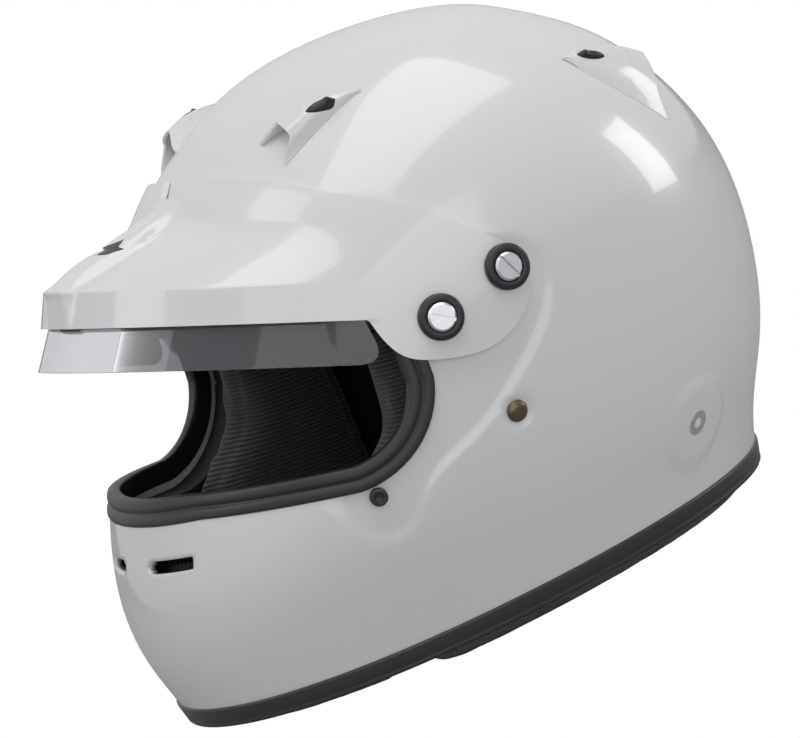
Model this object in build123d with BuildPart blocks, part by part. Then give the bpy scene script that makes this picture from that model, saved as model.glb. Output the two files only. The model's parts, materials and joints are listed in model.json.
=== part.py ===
from build123d import *
import os
from math import cos, radians, sin, tau

os.makedirs("parts", exist_ok=True)

# Shell: overall length, width, height above its rim line, and the rim line above the ground
shell_length = 347
shell_width = 256.4
shell_height = 251
rim_level = 18
shell_wall = 4
recess_depth = 1.6

# Level outlines of the shell: height, reach to the front, reach to the back, half width, fuller flank
skin_row_shares = [
    (-0.050, 0.472, 0.402, 0.737, 0.02),
    (0.000, 0.481, 0.409, 0.757, 0.02),
    (0.084, 0.497, 0.431, 0.815, 0.02),
    (0.192, 0.497, 0.465, 0.909, 0.03),
    (0.326, 0.468, 0.492, 0.976, 0.03),
    (0.460, 0.423, 0.500, 0.998, 0.03),
    (0.595, 0.376, 0.485, 0.993, 0.03),
    (0.721, 0.319, 0.447, 0.938, 0.02),
    (0.833, 0.250, 0.385, 0.821, 0.02),
    (0.880, 0.208, 0.344, 0.739, 0.02),
    (0.921, 0.165, 0.301, 0.649, 0.01),
    (0.954, 0.119, 0.259, 0.550, 0.00),
    (0.978, 0.068, 0.208, 0.417, 0.00),
    (0.994, 0.006, 0.140, 0.225, 0.00),
]
widest_row_share = 0.460
widest_front_share = 0.423
widest_back_share = 0.500
crown_back_share = 0.065
outline_steps = 12

# Eye port, side view: places are shares of the shell's length (back) and height (up)
port_floor_share = 0.349
port_chin_share = -0.430
port_cheek_share = (-0.275, 0.309)
port_hollow_share = (-0.183, 0.353)
port_rear_share = (-0.140, 0.450)
port_temple_share = (-0.138, 0.510)
port_corner_share = (-0.152, 0.592)
port_brow_start_share = (-0.195, 0.628)
port_brow_share = (-0.330, 0.697)
port_ahead_share = -0.72
port_ahead_brow_share = 0.887

# Face shield recess, side view
recess_shares = [
    (-0.320, 0.330),
    (-0.300, 0.240),
    (-0.262, 0.198),
    (-0.232, 0.200),
    (-0.205, 0.238),
    (-0.170, 0.282),
    (-0.110, 0.315),
    (-0.040, 0.372),
    (0.012, 0.425),
    (0.048, 0.480),
    (0.062, 0.535),
    (0.050, 0.595),
    (0.005, 0.640),
    (-0.070, 0.665),
    (-0.160, 0.668),
]
recess_inside_shares = [(-0.260, 0.600), (-0.260, 0.450)]

# Eye port gasket and base trim
gasket_width = 12
gasket_grip = 5
gasket_proud = 1.2
trim_height = 10
trim_floor = 2
trim_proud = 1.3
trim_inner = 1.6

# Chin slots and the mesh behind them
slot_length = 34
slot_height = 5.6
slot_middle_share = 0.226
slot_level_share = 0.281
mesh_depth = 6
mesh_wall = 1.2
mesh_margin = 5

# Liners under the shell
liner_gap = 0.3
side_liner = 18
crown_liner = 35
liner_depth_shares = [0, 0, 0, 0, 0.1, 0.35, 0.7, 0.9, 1, 1, 1, 1, 1, 1]
liner_foot = 40
chin_split_share = -0.135
chin_joint = 1
port_relief = 2.2

# Peak, seen in the attitude in which the helmet is worn
wear_tilt = 22
wear_centre_shares = (0.013, 0.458)
ear_rise = 3
peak_wall = 2.2
brim_centre = 50
brim_half_width = 113
brim_reach = 125.5
brim_foot = 4
brim_fold = 20.5
brim_top = 61
brim_row_shares = [
    (0.0, 1.0, 0.993, 0.985),
    (0.24, 0.96, 0.97, 0.87),
    (0.55, 0.90, 0.93, 0.71),
    (1.0, 0.82, 0.82, 0.52),
]
nose_half_width = 14
nose_reach = 48
nose_foot_reach = 47
nose_centre = 130
nose_row_shares = [(0.0, 1.0, 1.0), (0.24, 0.96, 0.88), (0.55, 0.83, 0.81), (1.0, 0.65, 0.74)]
peak_upper_shares = [
    (0.022, 0.598),
    (-0.010, 0.645),
    (-0.082, 0.741),
    (-0.163, 0.825),
    (-0.194, 0.861),
    (-0.212, 0.874),
]
peak_ear_shares = [
    (0.022, 0.598),
    (0.031, 0.552),
    (0.016, 0.515),
    (-0.019, 0.474),
    (-0.059, 0.458),
    (-0.125, 0.474),
    (-0.163, 0.502),
    (-0.178, 0.542),
    (-0.183, 0.582),
]
peak_ahead_share = (-0.72, 0.878)
peak_over_share = (-0.72, 1.0)
peak_brow_share = (-0.280, 0.960)
notch_half_width = 8
notch_mouth_half_width = 15
notch_floor_share = 0.842
notch_reach_share = 0.30

# Glare strip under the peak
strip_wall = 1.4
strip_overlap = 8
strip_drop = 15.8
strip_inset = 3.5
strip_flare = 5.8
strip_side_flare = 2.8
strip_end_shares = [(-0.181, 0.70), (-0.183, 0.555), (-0.190, 0.530), (-0.225, 0.516)]
strip_below_share = (-0.72, 0.70)
strip_above_share = (-0.72, 1.0)

# Peak screws, side view, with their rings and inserts
screw_shares = [(-0.001, 0.574), (-0.105, 0.542)]
screw_head_radius = 6.5
screw_head = 3.4
screw_radius = 2.5
screw_edge = 0.9
screw_slot = 1.6
screw_turns = (-67, -34)
screw_slot_depth = 1.2
screw_length = 13
ring_radius = 10.5
ring_height = 3.6
ring_seat = 0.8
ring_edge = 0.8
insert_barrel_radius = 4
insert_flange_radius = 8
insert_flange = 1.5
thread_gap = 0.05
fit_gap = 0.2
seat_gap = 0.3

# Strap rivets, face shield studs and side anchors, side view
rivet_share = (-0.053, 0.327)
rivet_head_radius = 5
rivet_head = 2.6
rivet_radius = 2.6
rivet_dish_radius = 8.7
rivet_dish = 2
rivet_washer_radius = 8
rivet_washer = 1
rivet_tail = 1.5
rivet_head_edge = 0.7
stud_share = (-0.258, 0.290)
stud_radius = 4.1
stud_proud = 2.2
stud_hollow_radius = 2.2
stud_hollow = 2
stud_lift = 0.1
stud_neck_radius = 2.6
anchor_share = (0.217, 0.136)
anchor_radius = 6
anchor_length = 9
anchor_bore_radius = 2.5
anchor_flange_radius = 8.5
anchor_flange = 1.2
boss_radius = 22
boss_proud = 1.2

# Front and rear ducts: places as shares of the shell's half width and length
duct_rise = 5
duct_tilt = 8
duct_sink = 6
duct_wall = 1.8
duct_gap = 0.15
duct_corner = 1.5
duct_roof_share = 0.9
duct_mouth = 12
front_duct_seat_share = (0.484, -0.079)
front_duct_shares = [(0.351, -0.148), (0.523, -0.154), (0.562, -0.019)]
rear_duct_seat_share = (0.655, 0.295)
rear_duct_shares = [
    (0.500, 0.372),
    (0.740, 0.344),
    (0.735, 0.252),
    (0.700, 0.236),
    (0.655, 0.246),
]
vent_radius = 5
shutter_length = 15
shutter_width = 4.6
shutter_height = 2.6
shutter_stem_width = 2.4
shutter_travel = 4
shutter_gap = 0.3
shutter_stem_length = 6
shutter_stem = 1.8
shutter_places = ((2, -4.2), (7, 3.2))

# Chin straps, side view place across the rivet, and their D-rings
strap_width = 25
strap_wall = 1.8
strap_gap = 1.5
strap_channel = 2.5
strap_slack = 1.6
strap_turn_share = 0.49
strap_level = 31
strap_above = 12
strap_bend = 1.25
strap_pitch = 2.6
strap_fold_share = 0.486
strap_fold_low = 7
strap_fold_high = 35
strap_end = 12
ring_wire = 1.7
ring_inside = 26
ring_depth = 13
ring_pitch = 4.2
ring_corner = 3
ring_across_share = 0.36
ring_level = 25
loop_gap = 0.4
snap_level = 20
snap_radius = 6
snap_height = 2.2
snap_stem_radius = 1.5
snap_tail = 0.5

# Soft pads
pad_gap = 0.5
crown_pad_wall = 9
pad_channel = 6
pad_channel_share = 0.20
channel_sink = 3
roll_height = 28
roll_front_share = -0.240
roll_outer_rows = [(0.0, 13.0), (0.18, 8.8), (0.5, 6.9), (0.82, 7.4), (1.0, 12.0)]
roll_inner_rows = [(0.0, 27.0), (0.22, 31.0), (0.5, 32.5), (0.8, 31.0), (1.0, 25.0)]
curtain_foot = 4.5
curtain_outer_rows = [(0.0, 12.0), (0.15, 8.6), (0.5, 7.0), (0.8, 7.0), (1.0, 10.5)]
curtain_inner_rows = [(0.0, 15.5), (0.25, 18.0), (0.5, 18.5), (0.8, 17.5), (1.0, 14.5)]
curtain_gap = 3
cheek_inner_share = 0.515
cheek_shares = [
    (-0.300, 0.066),
    (-0.305, 0.255),
    (-0.235, 0.325),
    (-0.178, 0.385),
    (-0.160, 0.540),
    (-0.060, 0.565),
    (-0.010, 0.450),
    (-0.010, 0.066),
]
cheek_corner = 12
cheek_rows = [(0.0, 0.50), (0.10, 0.72), (0.28, 0.90), (0.55, 0.985), (1.0, 1.0)]
cheek_depth = 22
cheek_reach = 2.6
cheek_groove = 2.5
crown_edge_shares = [(-0.130, 0.585), (0.000, 0.585), (0.090, 0.370), (0.560, 0.290)]
pad_snap_radius = 6
pad_snap_height = 5
pad_snap_shares = [(-0.215, 0.190), (-0.060, 0.330)]


def side(place):
    """Side view place, back and up, of a pair of shares."""
    return (place[0] * shell_length, rim_level + place[1] * shell_height)


def level_outline(height, front, back, half, fullness):
    """Level outline: an ellipse, longer one way, with fuller flanks."""
    middle, reach = (front - back) / 2, (front + back) / 2
    points = []
    for step in range(outline_steps):
        turn = tau * step / outline_steps
        across = half * (sin(turn) + fullness * sin(3 * turn)) / (1 - fullness)
        points.append((across, -(middle + reach * cos(turn))))
    with BuildSketch(Plane.XY.offset(height)) as section:
        with BuildLine():
            Spline(points, periodic=True)
        make_face()
    return section.sketch


def skin(inset, depth=0, depth_shares=None):
    """Closed body of the shell's outside, drawn in by an inset and by a depth that varies with height."""
    depth_shares = depth_shares or [0] * len(skin_row_shares)
    widest = widest_row_share * shell_height
    rise = shell_height - widest
    sections = []
    for row, share in zip(skin_row_shares, depth_shares):
        height, front, back, half, fullness = row
        draw = inset + depth * share
        level = height * shell_height
        front, back, half = front * shell_length, back * shell_length, half * shell_width / 2
        if level > widest:
            level = widest + (level - widest) * (1 - draw / rise)
            front *= 1 - draw / (widest_front_share * shell_length)
            back *= 1 - draw / (widest_back_share * shell_length)
            half *= 1 - draw / (shell_width / 2)
        else:
            front, back, half = front - draw, back - draw, half - draw
        sections.append(level_outline(rim_level + level, front, back, half, fullness))
    draw = inset + depth * depth_shares[-1]
    crown = Vertex(0, crown_back_share * shell_length, rim_level + shell_height - draw)
    with BuildPart() as body:
        loft(sections + [crown])
    return body.part


def side_prism(face, grow=0):
    """Prism right through the shell of a side view outline, grown by an amount."""
    with BuildPart() as prism:
        with BuildSketch(Plane.YZ):
            add(face)
            if grow:
                offset(amount=grow)
        extrude(amount=shell_width, both=True)
    return prism.part


def port_outline():
    """Side view outline of the eye port, open far ahead of the chin."""
    with BuildSketch() as face:
        with BuildLine():
            floor = Line(
                side((port_ahead_share, port_floor_share)), side((port_chin_share, port_floor_share))
            )
            cheek = Line(floor @ 1, side(port_cheek_share))
            hollow = ThreePointArc(cheek @ 1, side(port_hollow_share), side(port_rear_share))
            temple = Line(hollow @ 1, side(port_temple_share))
            corner = ThreePointArc(temple @ 1, side(port_corner_share), side(port_brow_start_share))
            brow = Line(corner @ 1, side(port_brow_share))
            ahead = Line(brow @ 1, side((port_ahead_share, port_ahead_brow_share)))
            Line(ahead @ 1, floor @ 0)
        make_face()
    return face.sketch_local


def recess_outline():
    """Side view outline of the recess for the face shield, closed inside the eye port."""
    with BuildSketch() as face:
        with BuildLine():
            edge = Spline([side(place) for place in recess_shares])
            Polyline([edge @ 1] + [side(place) for place in recess_inside_shares] + [edge @ 0])
        make_face()
    return face.sketch_local


def outer_body(clearance):
    """Outside of the shell with its recess, grown by a clearance."""
    with BuildPart() as recess:
        add(side_prism(recess_outline()))
        add(skin(recess_depth - clearance), mode=Mode.SUBTRACT)
    with BuildPart() as body:
        add(skin(-clearance))
        add(recess.part, mode=Mode.SUBTRACT)
    return body.part


def both_sides(part):
    """A piece of the left side and its mirror on the right."""
    return [part, part.mirror(Plane.YZ)]


def both(parts):
    """Pieces of the left side and their mirrors on the right."""
    return [piece for part in parts for piece in both_sides(part)]


def flank_seat(place):
    """Plane on the left flank at a side view place: X points back, Z out of the shell."""
    back, up = side(place)
    hits = whole_skin.faces()[0].find_intersection_points(Axis((0, back, up), (1, 0, 0)))
    point, normal = max(hits, key=lambda hit: hit[0].X)
    return Plane(origin=point, x_dir=(0, 1, 0), z_dir=normal)


def roof_point(place):
    """Point and normal on top of the shell at a place given as shares of half width and length."""
    across, back = place[0] * shell_width / 2, place[1] * shell_length
    hits = whole_skin.faces()[0].find_intersection_points(Axis((across, back, 0), (0, 0, 1)))
    return max(hits, key=lambda hit: hit[0].Z)


def tilted(seat, rise, angle):
    """Plane above a seat, leaned towards the seat's X."""
    lean = radians(angle)
    return Plane(
        origin=seat.origin + seat.z_dir * rise,
        x_dir=seat.x_dir * cos(lean) - seat.z_dir * sin(lean),
        z_dir=seat.z_dir * cos(lean) + seat.x_dir * sin(lean),
    )


def duct_frame(seat_place, places):
    """Plane on the roof under a duct, X from its two mouth corners to the rest, and the corners there."""
    middle, normal = roof_point(seat_place)
    points = [roof_point(place)[0] for place in places]
    narrow_end = sum(points[2:], Vector()) / len(points[2:])
    along = narrow_end - (points[0] + points[1]) / 2
    across = normal.cross(along)
    seat = Plane(origin=middle, x_dir=across.cross(normal), z_dir=normal)
    corners = [seat.to_local_coords(point) for point in points]
    return seat, [(corner.X, corner.Y) for corner in corners]


def disc(seat, start, stop, radius, mode=Mode.ADD):
    """Round step along a seat's normal."""
    with BuildSketch(seat.offset(start)) as face:
        Circle(radius)
    extrude(face.sketch, amount=stop - start, mode=mode)


def bore(seat, start, stop, radius):
    """Round cutter along a seat's normal."""
    with BuildPart() as cutter:
        disc(seat, start, stop, radius)
    return cutter.part


def common(part, tool):
    """What two bodies share: the first without what lies outside the second."""
    return part.cut(part.cut(tool))


def slab(part, bottom, top):
    """Level slice of a body."""
    with BuildPart() as body:
        add(part)
        split(bisect_by=Plane.XY.offset(bottom), keep=Keep.TOP)
        split(bisect_by=Plane.XY.offset(top), keep=Keep.BOTTOM)
    return body.part


def mix(start, stop, share):
    """Point part of the way from one place to another."""
    return tuple(a + (b - a) * share for a, b in zip(start, stop))


def sag(radius):
    """How far the flank curves away under a flat disc."""
    return radius**2 / shell_width


def turned(seat, profile):
    """Solid turned about a seat's normal: profile points are radius and height."""
    with BuildSketch(Plane(origin=seat.origin, x_dir=seat.x_dir, z_dir=-seat.y_dir)) as half:
        with BuildLine():
            Polyline(profile, close=True)
        make_face()
    with BuildPart() as body:
        revolve(half.sketch, axis=Axis(seat.origin, seat.z_dir))
    return body.part


def finish(builder, name):
    """Label a piece and write it."""
    builder.part.label = name
    export_step(builder.part, f"parts/{name}.step")


def save(pieces, name):
    """Write one node made of one or more separate pieces."""
    with BuildPart() as node:
        add(pieces)
    finish(node, name)


whole_skin = skin(0)
inner_skin = skin(shell_wall)
port = port_outline()
screw_seats = [flank_seat(place) for place in screw_shares]
rivet_seat = flank_seat(rivet_share)
stud_seat = flank_seat(stud_share)
anchor_seat = flank_seat(anchor_share)
duct_frames = [
    duct_frame(front_duct_seat_share, front_duct_shares),
    duct_frame(rear_duct_seat_share, rear_duct_shares),
]

# Outer shell: wall between two skins, with its recess, side bosses, port, slots, holes and vents
boss = common(bore(anchor_seat, -2 * shell_wall, boss_radius, boss_radius), skin(-boss_proud))
recess = side_prism(recess_outline()).cut(skin(recess_depth))

slot_across, slot_up = slot_middle_share * shell_width / 2, rim_level + slot_level_share * shell_height
with BuildPart() as chin_slots:
    with BuildSketch(Plane.XZ):
        with Locations((slot_across, slot_up), (-slot_across, slot_up)):
            SlotOverall(slot_length, slot_height)
    extrude(amount=shell_length)

flange_gap = seat_gap + sag(insert_flange_radius)
insert_back = shell_wall + flange_gap + insert_flange
dish = turned(
    rivet_seat,
    [
        (0, -2 * shell_wall),
        (rivet_radius + fit_gap, -2 * shell_wall),
        (rivet_radius + fit_gap, -rivet_dish),
        (rivet_head_radius + fit_gap, -rivet_dish),
        (rivet_dish_radius, 0),
        (rivet_dish_radius, rivet_dish),
        (0, rivet_dish),
    ],
)
holes = [bore(seat, -2 * shell_wall, shell_wall, insert_barrel_radius + fit_gap) for seat in screw_seats]
holes.append(bore(stud_seat, -2 * shell_wall, shell_wall, stud_neck_radius + fit_gap))
holes.append(bore(anchor_seat, -2 * shell_wall, shell_wall, anchor_radius + fit_gap))
holes.append(dish)
vents = [bore(seat, -2 * crown_liner, shell_wall, vent_radius) for seat, _ in duct_frames]

with BuildPart() as outer_shell:
    add(whole_skin)
    add(both_sides(boss))
    add([recess, inner_skin], mode=Mode.SUBTRACT)
    split(bisect_by=Plane.XY.offset(rim_level - trim_height + trim_floor), keep=Keep.TOP)
    add([side_prism(port, -gasket_grip), chin_slots.part] + both(holes + vents), mode=Mode.SUBTRACT)
finish(outer_shell, "outer_shell")

# Eye port gasket: rubber channel over the port's edge
with BuildPart() as gasket_band:
    add(side_prism(port))
    add(side_prism(port, -gasket_width), mode=Mode.SUBTRACT)

with BuildPart() as gasket_slot:
    add(side_prism(port, 2 * gasket_proud))
    add(side_prism(port, -gasket_grip), mode=Mode.SUBTRACT)
    add(inner_skin, mode=Mode.SUBTRACT)

gasket_outside = gasket_band.part.cut(skin(-gasket_proud))
gasket_inside = skin(shell_wall + gasket_proud)
gasket_room = common(gasket_slot.part, whole_skin)
with BuildPart() as eyeport_gasket:
    add(gasket_band.part)
    add([gasket_outside, gasket_inside, gasket_room], mode=Mode.SUBTRACT)
finish(eyeport_gasket, "eyeport_gasket")

# Base trim: dark rubber channel over the shell's bottom edge
trim_foot = rim_level - trim_height
edge_foot = trim_foot + trim_floor
shell_edge = slab(whole_skin, edge_foot, rim_level).cut(slab(inner_skin, edge_foot, rim_level))
with BuildPart() as base_trim:
    add(slab(skin(-trim_proud), trim_foot, rim_level))
    add(slab(skin(shell_wall + trim_inner), trim_foot, rim_level), mode=Mode.SUBTRACT)
    add(shell_edge, mode=Mode.SUBTRACT)
finish(base_trim, "base_trim")

# Peak: a brim and central nose drawn in the wearer's attitude, with ears over the shield recess
wear_plane = Plane(
    origin=(0, *side(wear_centre_shares)),
    x_dir=(1, 0, 0),
    z_dir=(0, sin(radians(wear_tilt)), cos(radians(wear_tilt))),
)


def oval(level, centre, half, reach):
    """Level ellipse in the wearer's attitude, its centre a way ahead."""
    with BuildSketch(wear_plane.offset(level)) as section:
        with Locations((0, -centre)):
            Ellipse(half, reach)
    return section.sketch


def brim(inset, drop):
    """Brim and nose of the peak, drawn in by an inset and carried down by a drop."""
    foot = oval(brim_foot - drop, brim_centre, brim_half_width - inset, brim_reach - inset)
    nose_foot = oval(brim_foot - drop, nose_centre, nose_half_width - inset, nose_foot_reach - inset)
    bands = []
    ridge = []
    for rise, centre, half, reach in brim_row_shares:
        level = mix((brim_fold,), (brim_top,), rise)[0]
        bands.append(
            oval(level, brim_centre * centre, brim_half_width * half - inset, brim_reach * reach - inset)
        )
    for rise, centre, reach in nose_row_shares:
        level = mix((brim_fold,), (brim_top,), rise)[0]
        ridge.append(oval(level, nose_centre * centre, nose_half_width - inset, nose_reach * reach - inset))
    with BuildPart() as body:
        loft([foot, bands[0]])
        loft(bands)
        loft([nose_foot, ridge[0]])
        loft(ridge)
    return body.part


peak_edge_shares = peak_upper_shares[::-1] + peak_ear_shares[1:]
peak_far_shares = (peak_ahead_share, peak_over_share, peak_brow_share)
with BuildSketch() as peak_face:
    with BuildLine():
        edge = Spline([side(place) for place in peak_edge_shares])
        Polyline([edge @ 1] + [side(place) for place in peak_far_shares] + [edge @ 0])
    make_face()

notch_floor = rim_level + notch_floor_share * shell_height
notch_top = rim_level + shell_height
with BuildPart() as notch:
    with BuildSketch(Plane.XZ):
        with BuildLine():
            Polyline(
                (-notch_half_width, notch_floor),
                (notch_half_width, notch_floor),
                (notch_mouth_half_width, notch_top),
                (-notch_mouth_half_width, notch_top),
                close=True,
            )
        make_face()
    extrude(amount=notch_reach_share * shell_length)

peak_relief = common(side_prism(port, seat_gap), skin(-gasket_proud - seat_gap))
peak_holes = [bore(seat, -shell_wall, 3 * ear_rise, screw_radius + fit_gap) for seat in screw_seats]
with BuildPart() as peak:
    add(skin(-ear_rise))
    add(brim(0, 0))
    add(side_prism(peak_face.sketch_local), mode=Mode.INTERSECT)
    add(brim(peak_wall, 2 * peak_wall), mode=Mode.SUBTRACT)
    add(outer_body(seat_gap), mode=Mode.SUBTRACT)
    add([peak_relief, notch.part] + both(peak_holes), mode=Mode.SUBTRACT)
finish(peak, "peak")

# Glare strip: clear band that hangs from the inside of the peak's edge
with BuildSketch() as strip_face:
    with BuildLine():
        Polyline(
            [side(place) for place in strip_end_shares + [strip_below_share, strip_above_share]],
            close=True,
        )
    make_face()


def strip_body(inset):
    """Body of the glare strip, upright behind the peak's edge and flared below it."""
    half, reach = brim_half_width - strip_inset - inset, brim_reach - strip_inset - inset
    upper = oval(brim_foot + strip_overlap, brim_centre, half, reach)
    middle = oval(brim_foot, brim_centre, half, reach)
    lower = oval(-strip_drop, brim_centre, half + strip_side_flare, reach + strip_flare)
    with BuildPart() as body:
        loft([upper, middle, lower], ruled=True)
    return body.part


with BuildPart() as glare_strip:
    add(common(strip_body(0).cut(strip_body(strip_wall)), side_prism(strip_face.sketch_local)))
    add(skin(-gasket_proud - seat_gap), mode=Mode.SUBTRACT)
finish(glare_strip, "glare_strip")

# Peak screws with rubber rings under their heads and inserts behind the shell
ring_foot = ear_rise + thread_gap
head_foot = ring_foot + ring_seat
head_top = head_foot + screw_head
screws = []
rings = []
inserts = []
for seat, turn in zip(screw_seats, screw_turns):
    screw = turned(
        seat,
        [
            (0, head_foot - screw_length),
            (screw_radius, head_foot - screw_length),
            (screw_radius, head_foot),
            (screw_head_radius, head_foot),
            (screw_head_radius, head_top - screw_edge),
            (screw_head_radius - screw_edge, head_top),
            (0, head_top),
        ],
    )
    with BuildSketch(seat.offset(head_top - screw_slot_depth)) as slot:
        Rectangle(3 * screw_head_radius, screw_slot, rotation=turn)
    screws.append(screw.cut(extrude(slot.sketch, amount=2 * screw_slot_depth, mode=Mode.PRIVATE)))
    rings.append(
        turned(
            seat,
            [
                (screw_radius + fit_gap, ring_foot),
                (ring_radius, ring_foot),
                (ring_radius, ring_foot + ring_height - ring_edge),
                (ring_radius - ring_edge, ring_foot + ring_height),
                (screw_head_radius + fit_gap, ring_foot + ring_height),
                (screw_head_radius + fit_gap, head_foot),
                (screw_radius + fit_gap, head_foot),
            ],
        )
    )
    inserts.append(
        turned(
            seat,
            [
                (screw_radius + thread_gap, -insert_back),
                (insert_flange_radius, -insert_back),
                (insert_flange_radius, -insert_back + insert_flange),
                (insert_barrel_radius, -insert_back + insert_flange),
                (insert_barrel_radius, -recess_depth),
                (screw_radius + thread_gap, -recess_depth),
            ],
        )
    )
save(both(screws), "peak_screws")
save(both(rings), "screw_rings")
save(both(inserts), "screw_inserts")

# Strap rivets and their washers
strap_depth = shell_wall + strap_gap
strap_back = strap_depth + strap_wall
washer_back = strap_back + strap_slack + rivet_washer
rivet = turned(
    rivet_seat,
    [
        (0, -washer_back - rivet_tail),
        (rivet_radius, -washer_back - rivet_tail),
        (rivet_radius, -rivet_dish),
        (rivet_head_radius, -rivet_dish),
        (rivet_head_radius, -rivet_dish + rivet_head_edge),
        (rivet_head_radius * 0.86, -rivet_dish + rivet_head * 0.62),
        (rivet_head_radius * 0.5, -rivet_dish + rivet_head * 0.92),
        (0, -rivet_dish + rivet_head),
    ],
)
save(both([rivet]), "strap_rivets")
washer = turned(
    rivet_seat,
    [
        (rivet_radius + thread_gap, -washer_back),
        (rivet_washer_radius, -washer_back),
        (rivet_washer_radius, -washer_back + rivet_washer),
        (rivet_radius + thread_gap, -washer_back + rivet_washer),
    ],
)
save(both([washer]), "rivet_washers")

# Face shield studs on the recess floor
stud = turned(
    stud_seat,
    [
        (0, -shell_wall - liner_gap),
        (stud_neck_radius, -shell_wall - liner_gap),
        (stud_neck_radius, -recess_depth + stud_lift),
        (stud_radius, -recess_depth + stud_lift),
        (stud_radius, stud_proud),
        (stud_hollow_radius, stud_proud),
        (stud_hollow_radius, stud_proud - stud_hollow),
        (0, stud_proud - stud_hollow),
    ],
)
save(both([stud]), "shield_studs")

# Side anchors for head restraint tethers: threaded barrels with a flange inside the shell
anchor_gap = seat_gap + sag(anchor_flange_radius)
anchor_back = shell_wall + anchor_gap + anchor_flange
anchor = turned(
    anchor_seat,
    [
        (anchor_bore_radius, boss_proud - anchor_length),
        (anchor_radius, boss_proud - anchor_length),
        (anchor_radius, -anchor_back),
        (anchor_flange_radius, -anchor_back),
        (anchor_flange_radius, -anchor_back + anchor_flange),
        (anchor_radius, -anchor_back + anchor_flange),
        (anchor_radius, boss_proud),
        (anchor_bore_radius, boss_proud),
    ],
)
for name, piece in zip(("anchor_insert_left", "anchor_insert_right"), both_sides(anchor)):
    save([piece], name)

# Roof ducts: wedges open at their wide end, each with a shutter that slides along its roof


def centre_of(corners):
    """Mean place of some corners."""
    return tuple(sum(values) / len(corners) for values in zip(*corners))


def wedge(frame, inset, reach):
    """Wedge on the roof, drawn in by an inset and carried out through its open mouth."""
    seat, corners = frame
    middle = centre_of(corners)
    roof = tilted(seat, duct_rise - inset, duct_tilt)
    sections = []
    for plane, size in ((seat.offset(-duct_sink), 1), (seat, 1), (roof, duct_roof_share)):
        points = []
        for number, corner in enumerate(corners):
            x, y = mix(middle, corner, size)
            points.append((x - reach * (number < 2), y))
        with BuildSketch(plane) as section:
            with BuildLine():
                Polyline(points, close=True)
            make_face()
            if inset:
                offset(amount=-inset, kind=Kind.INTERSECTION)
            fillet(section.vertices(), max(duct_corner - inset, duct_wall / 2))
        sections.append(section.sketch)
    with BuildPart() as body:
        loft(sections, ruled=True)
    return body.part


duct_skin = skin(-duct_gap)
duct_names = (("front_duct", "front_shutter"), ("rear_duct", "rear_shutter"))
shutter_frames = []
for frame, names, place in zip(duct_frames, duct_names, shutter_places):
    seat, corners = frame
    roof = tilted(seat, duct_rise, duct_tilt)
    stand = Plane(origin=roof.from_local_coords(place), x_dir=roof.x_dir, z_dir=roof.z_dir)
    shutter_frames.append(stand)
    with BuildPart() as slot:
        with BuildSketch(stand.offset(-3 * duct_wall)):
            with Locations((shutter_travel / 2, 0)):
                Rectangle(
                    shutter_stem_length + shutter_travel + 2 * fit_gap, shutter_stem_width + 2 * fit_gap
                )
        extrude(amount=5 * duct_wall)
    with BuildPart() as duct:
        add(wedge(frame, 0, 0))
        add([wedge(frame, duct_wall, duct_mouth), slot.part, duct_skin], mode=Mode.SUBTRACT)
    with BuildPart() as shutter:
        with BuildSketch(stand.offset(shutter_gap)):
            SlotOverall(shutter_length, shutter_width)
        extrude(amount=shutter_height)
        with BuildSketch(stand.offset(shutter_gap)):
            Rectangle(shutter_stem_length, shutter_stem_width)
        extrude(amount=-shutter_stem)
    for part, name in zip((duct.part, shutter.part), names):
        for piece, hand in zip(both_sides(part), ("left", "right")):
            save([piece], f"{name}_{hand}")

# Liners: impact foam in the crown and sides, a chin foam ahead of it, pockets for what passes through
liner_outer = skin(shell_wall + liner_gap)
liner_cavity = skin(shell_wall + liner_gap + side_liner, crown_liner - side_liner, liner_depth_shares)
liner_block = liner_outer.cut(liner_cavity, side_prism(port, port_relief))

split_back = chin_split_share * shell_length
split_top = rim_level + 0.52 * shell_height
with BuildPart() as chin_room:
    with BuildSketch(Plane.YZ):
        with BuildLine():
            Polyline(
                (split_back, 0),
                (split_back, split_top),
                (-shell_length, split_top),
                (-shell_length, 0),
                close=True,
            )
        make_face()
    extrude(amount=shell_width, both=True)

channel_depth = strap_back + strap_slack
strap_half = strap_width / 2 + strap_channel
strap_top = rivet_seat.origin.Z + strap_above + strap_channel
with BuildPart() as channel:
    with BuildSketch(Plane.XZ.offset(-rivet_seat.origin.Y)):
        with BuildLine():
            Polyline((0, 0), (shell_width, 0), (shell_width, strap_top), (0, strap_top), close=True)
        make_face()
    extrude(amount=strap_half, both=True)
channel_cut = channel.part.cut(skin(channel_depth))

pockets = [bore(seat, -insert_back - seat_gap, 0, insert_flange_radius + seat_gap) for seat in screw_seats]
pockets += [
    bore(seat, head_foot - screw_length - seat_gap, 0, screw_radius + seat_gap) for seat in screw_seats
]
pockets.append(bore(rivet_seat, -washer_back - rivet_tail - seat_gap, 0, rivet_washer_radius + seat_gap))
pockets.append(bore(anchor_seat, boss_proud - anchor_length - seat_gap, 0, anchor_radius + seat_gap))
pockets.append(bore(anchor_seat, -anchor_back - seat_gap, 0, anchor_flange_radius + seat_gap))
liner_depth = shell_wall + liner_gap + side_liner
snap_seats = [flank_seat(place) for place in pad_snap_shares]
snap_sink = pad_snap_height / 2 + seat_gap
snap_pockets = [
    bore(seat, -liner_depth - snap_sink, -liner_depth + snap_sink, pad_snap_radius + seat_gap)
    for seat in snap_seats
]
with BuildPart() as impact_liner:
    add(liner_block)
    split(bisect_by=Plane.XY.offset(liner_foot), keep=Keep.TOP)
    add(chin_room.part, mode=Mode.SUBTRACT)
    add(both([channel_cut] + pockets + vents + snap_pockets[1:]), mode=Mode.SUBTRACT)
finish(impact_liner, "impact_liner")

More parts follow.
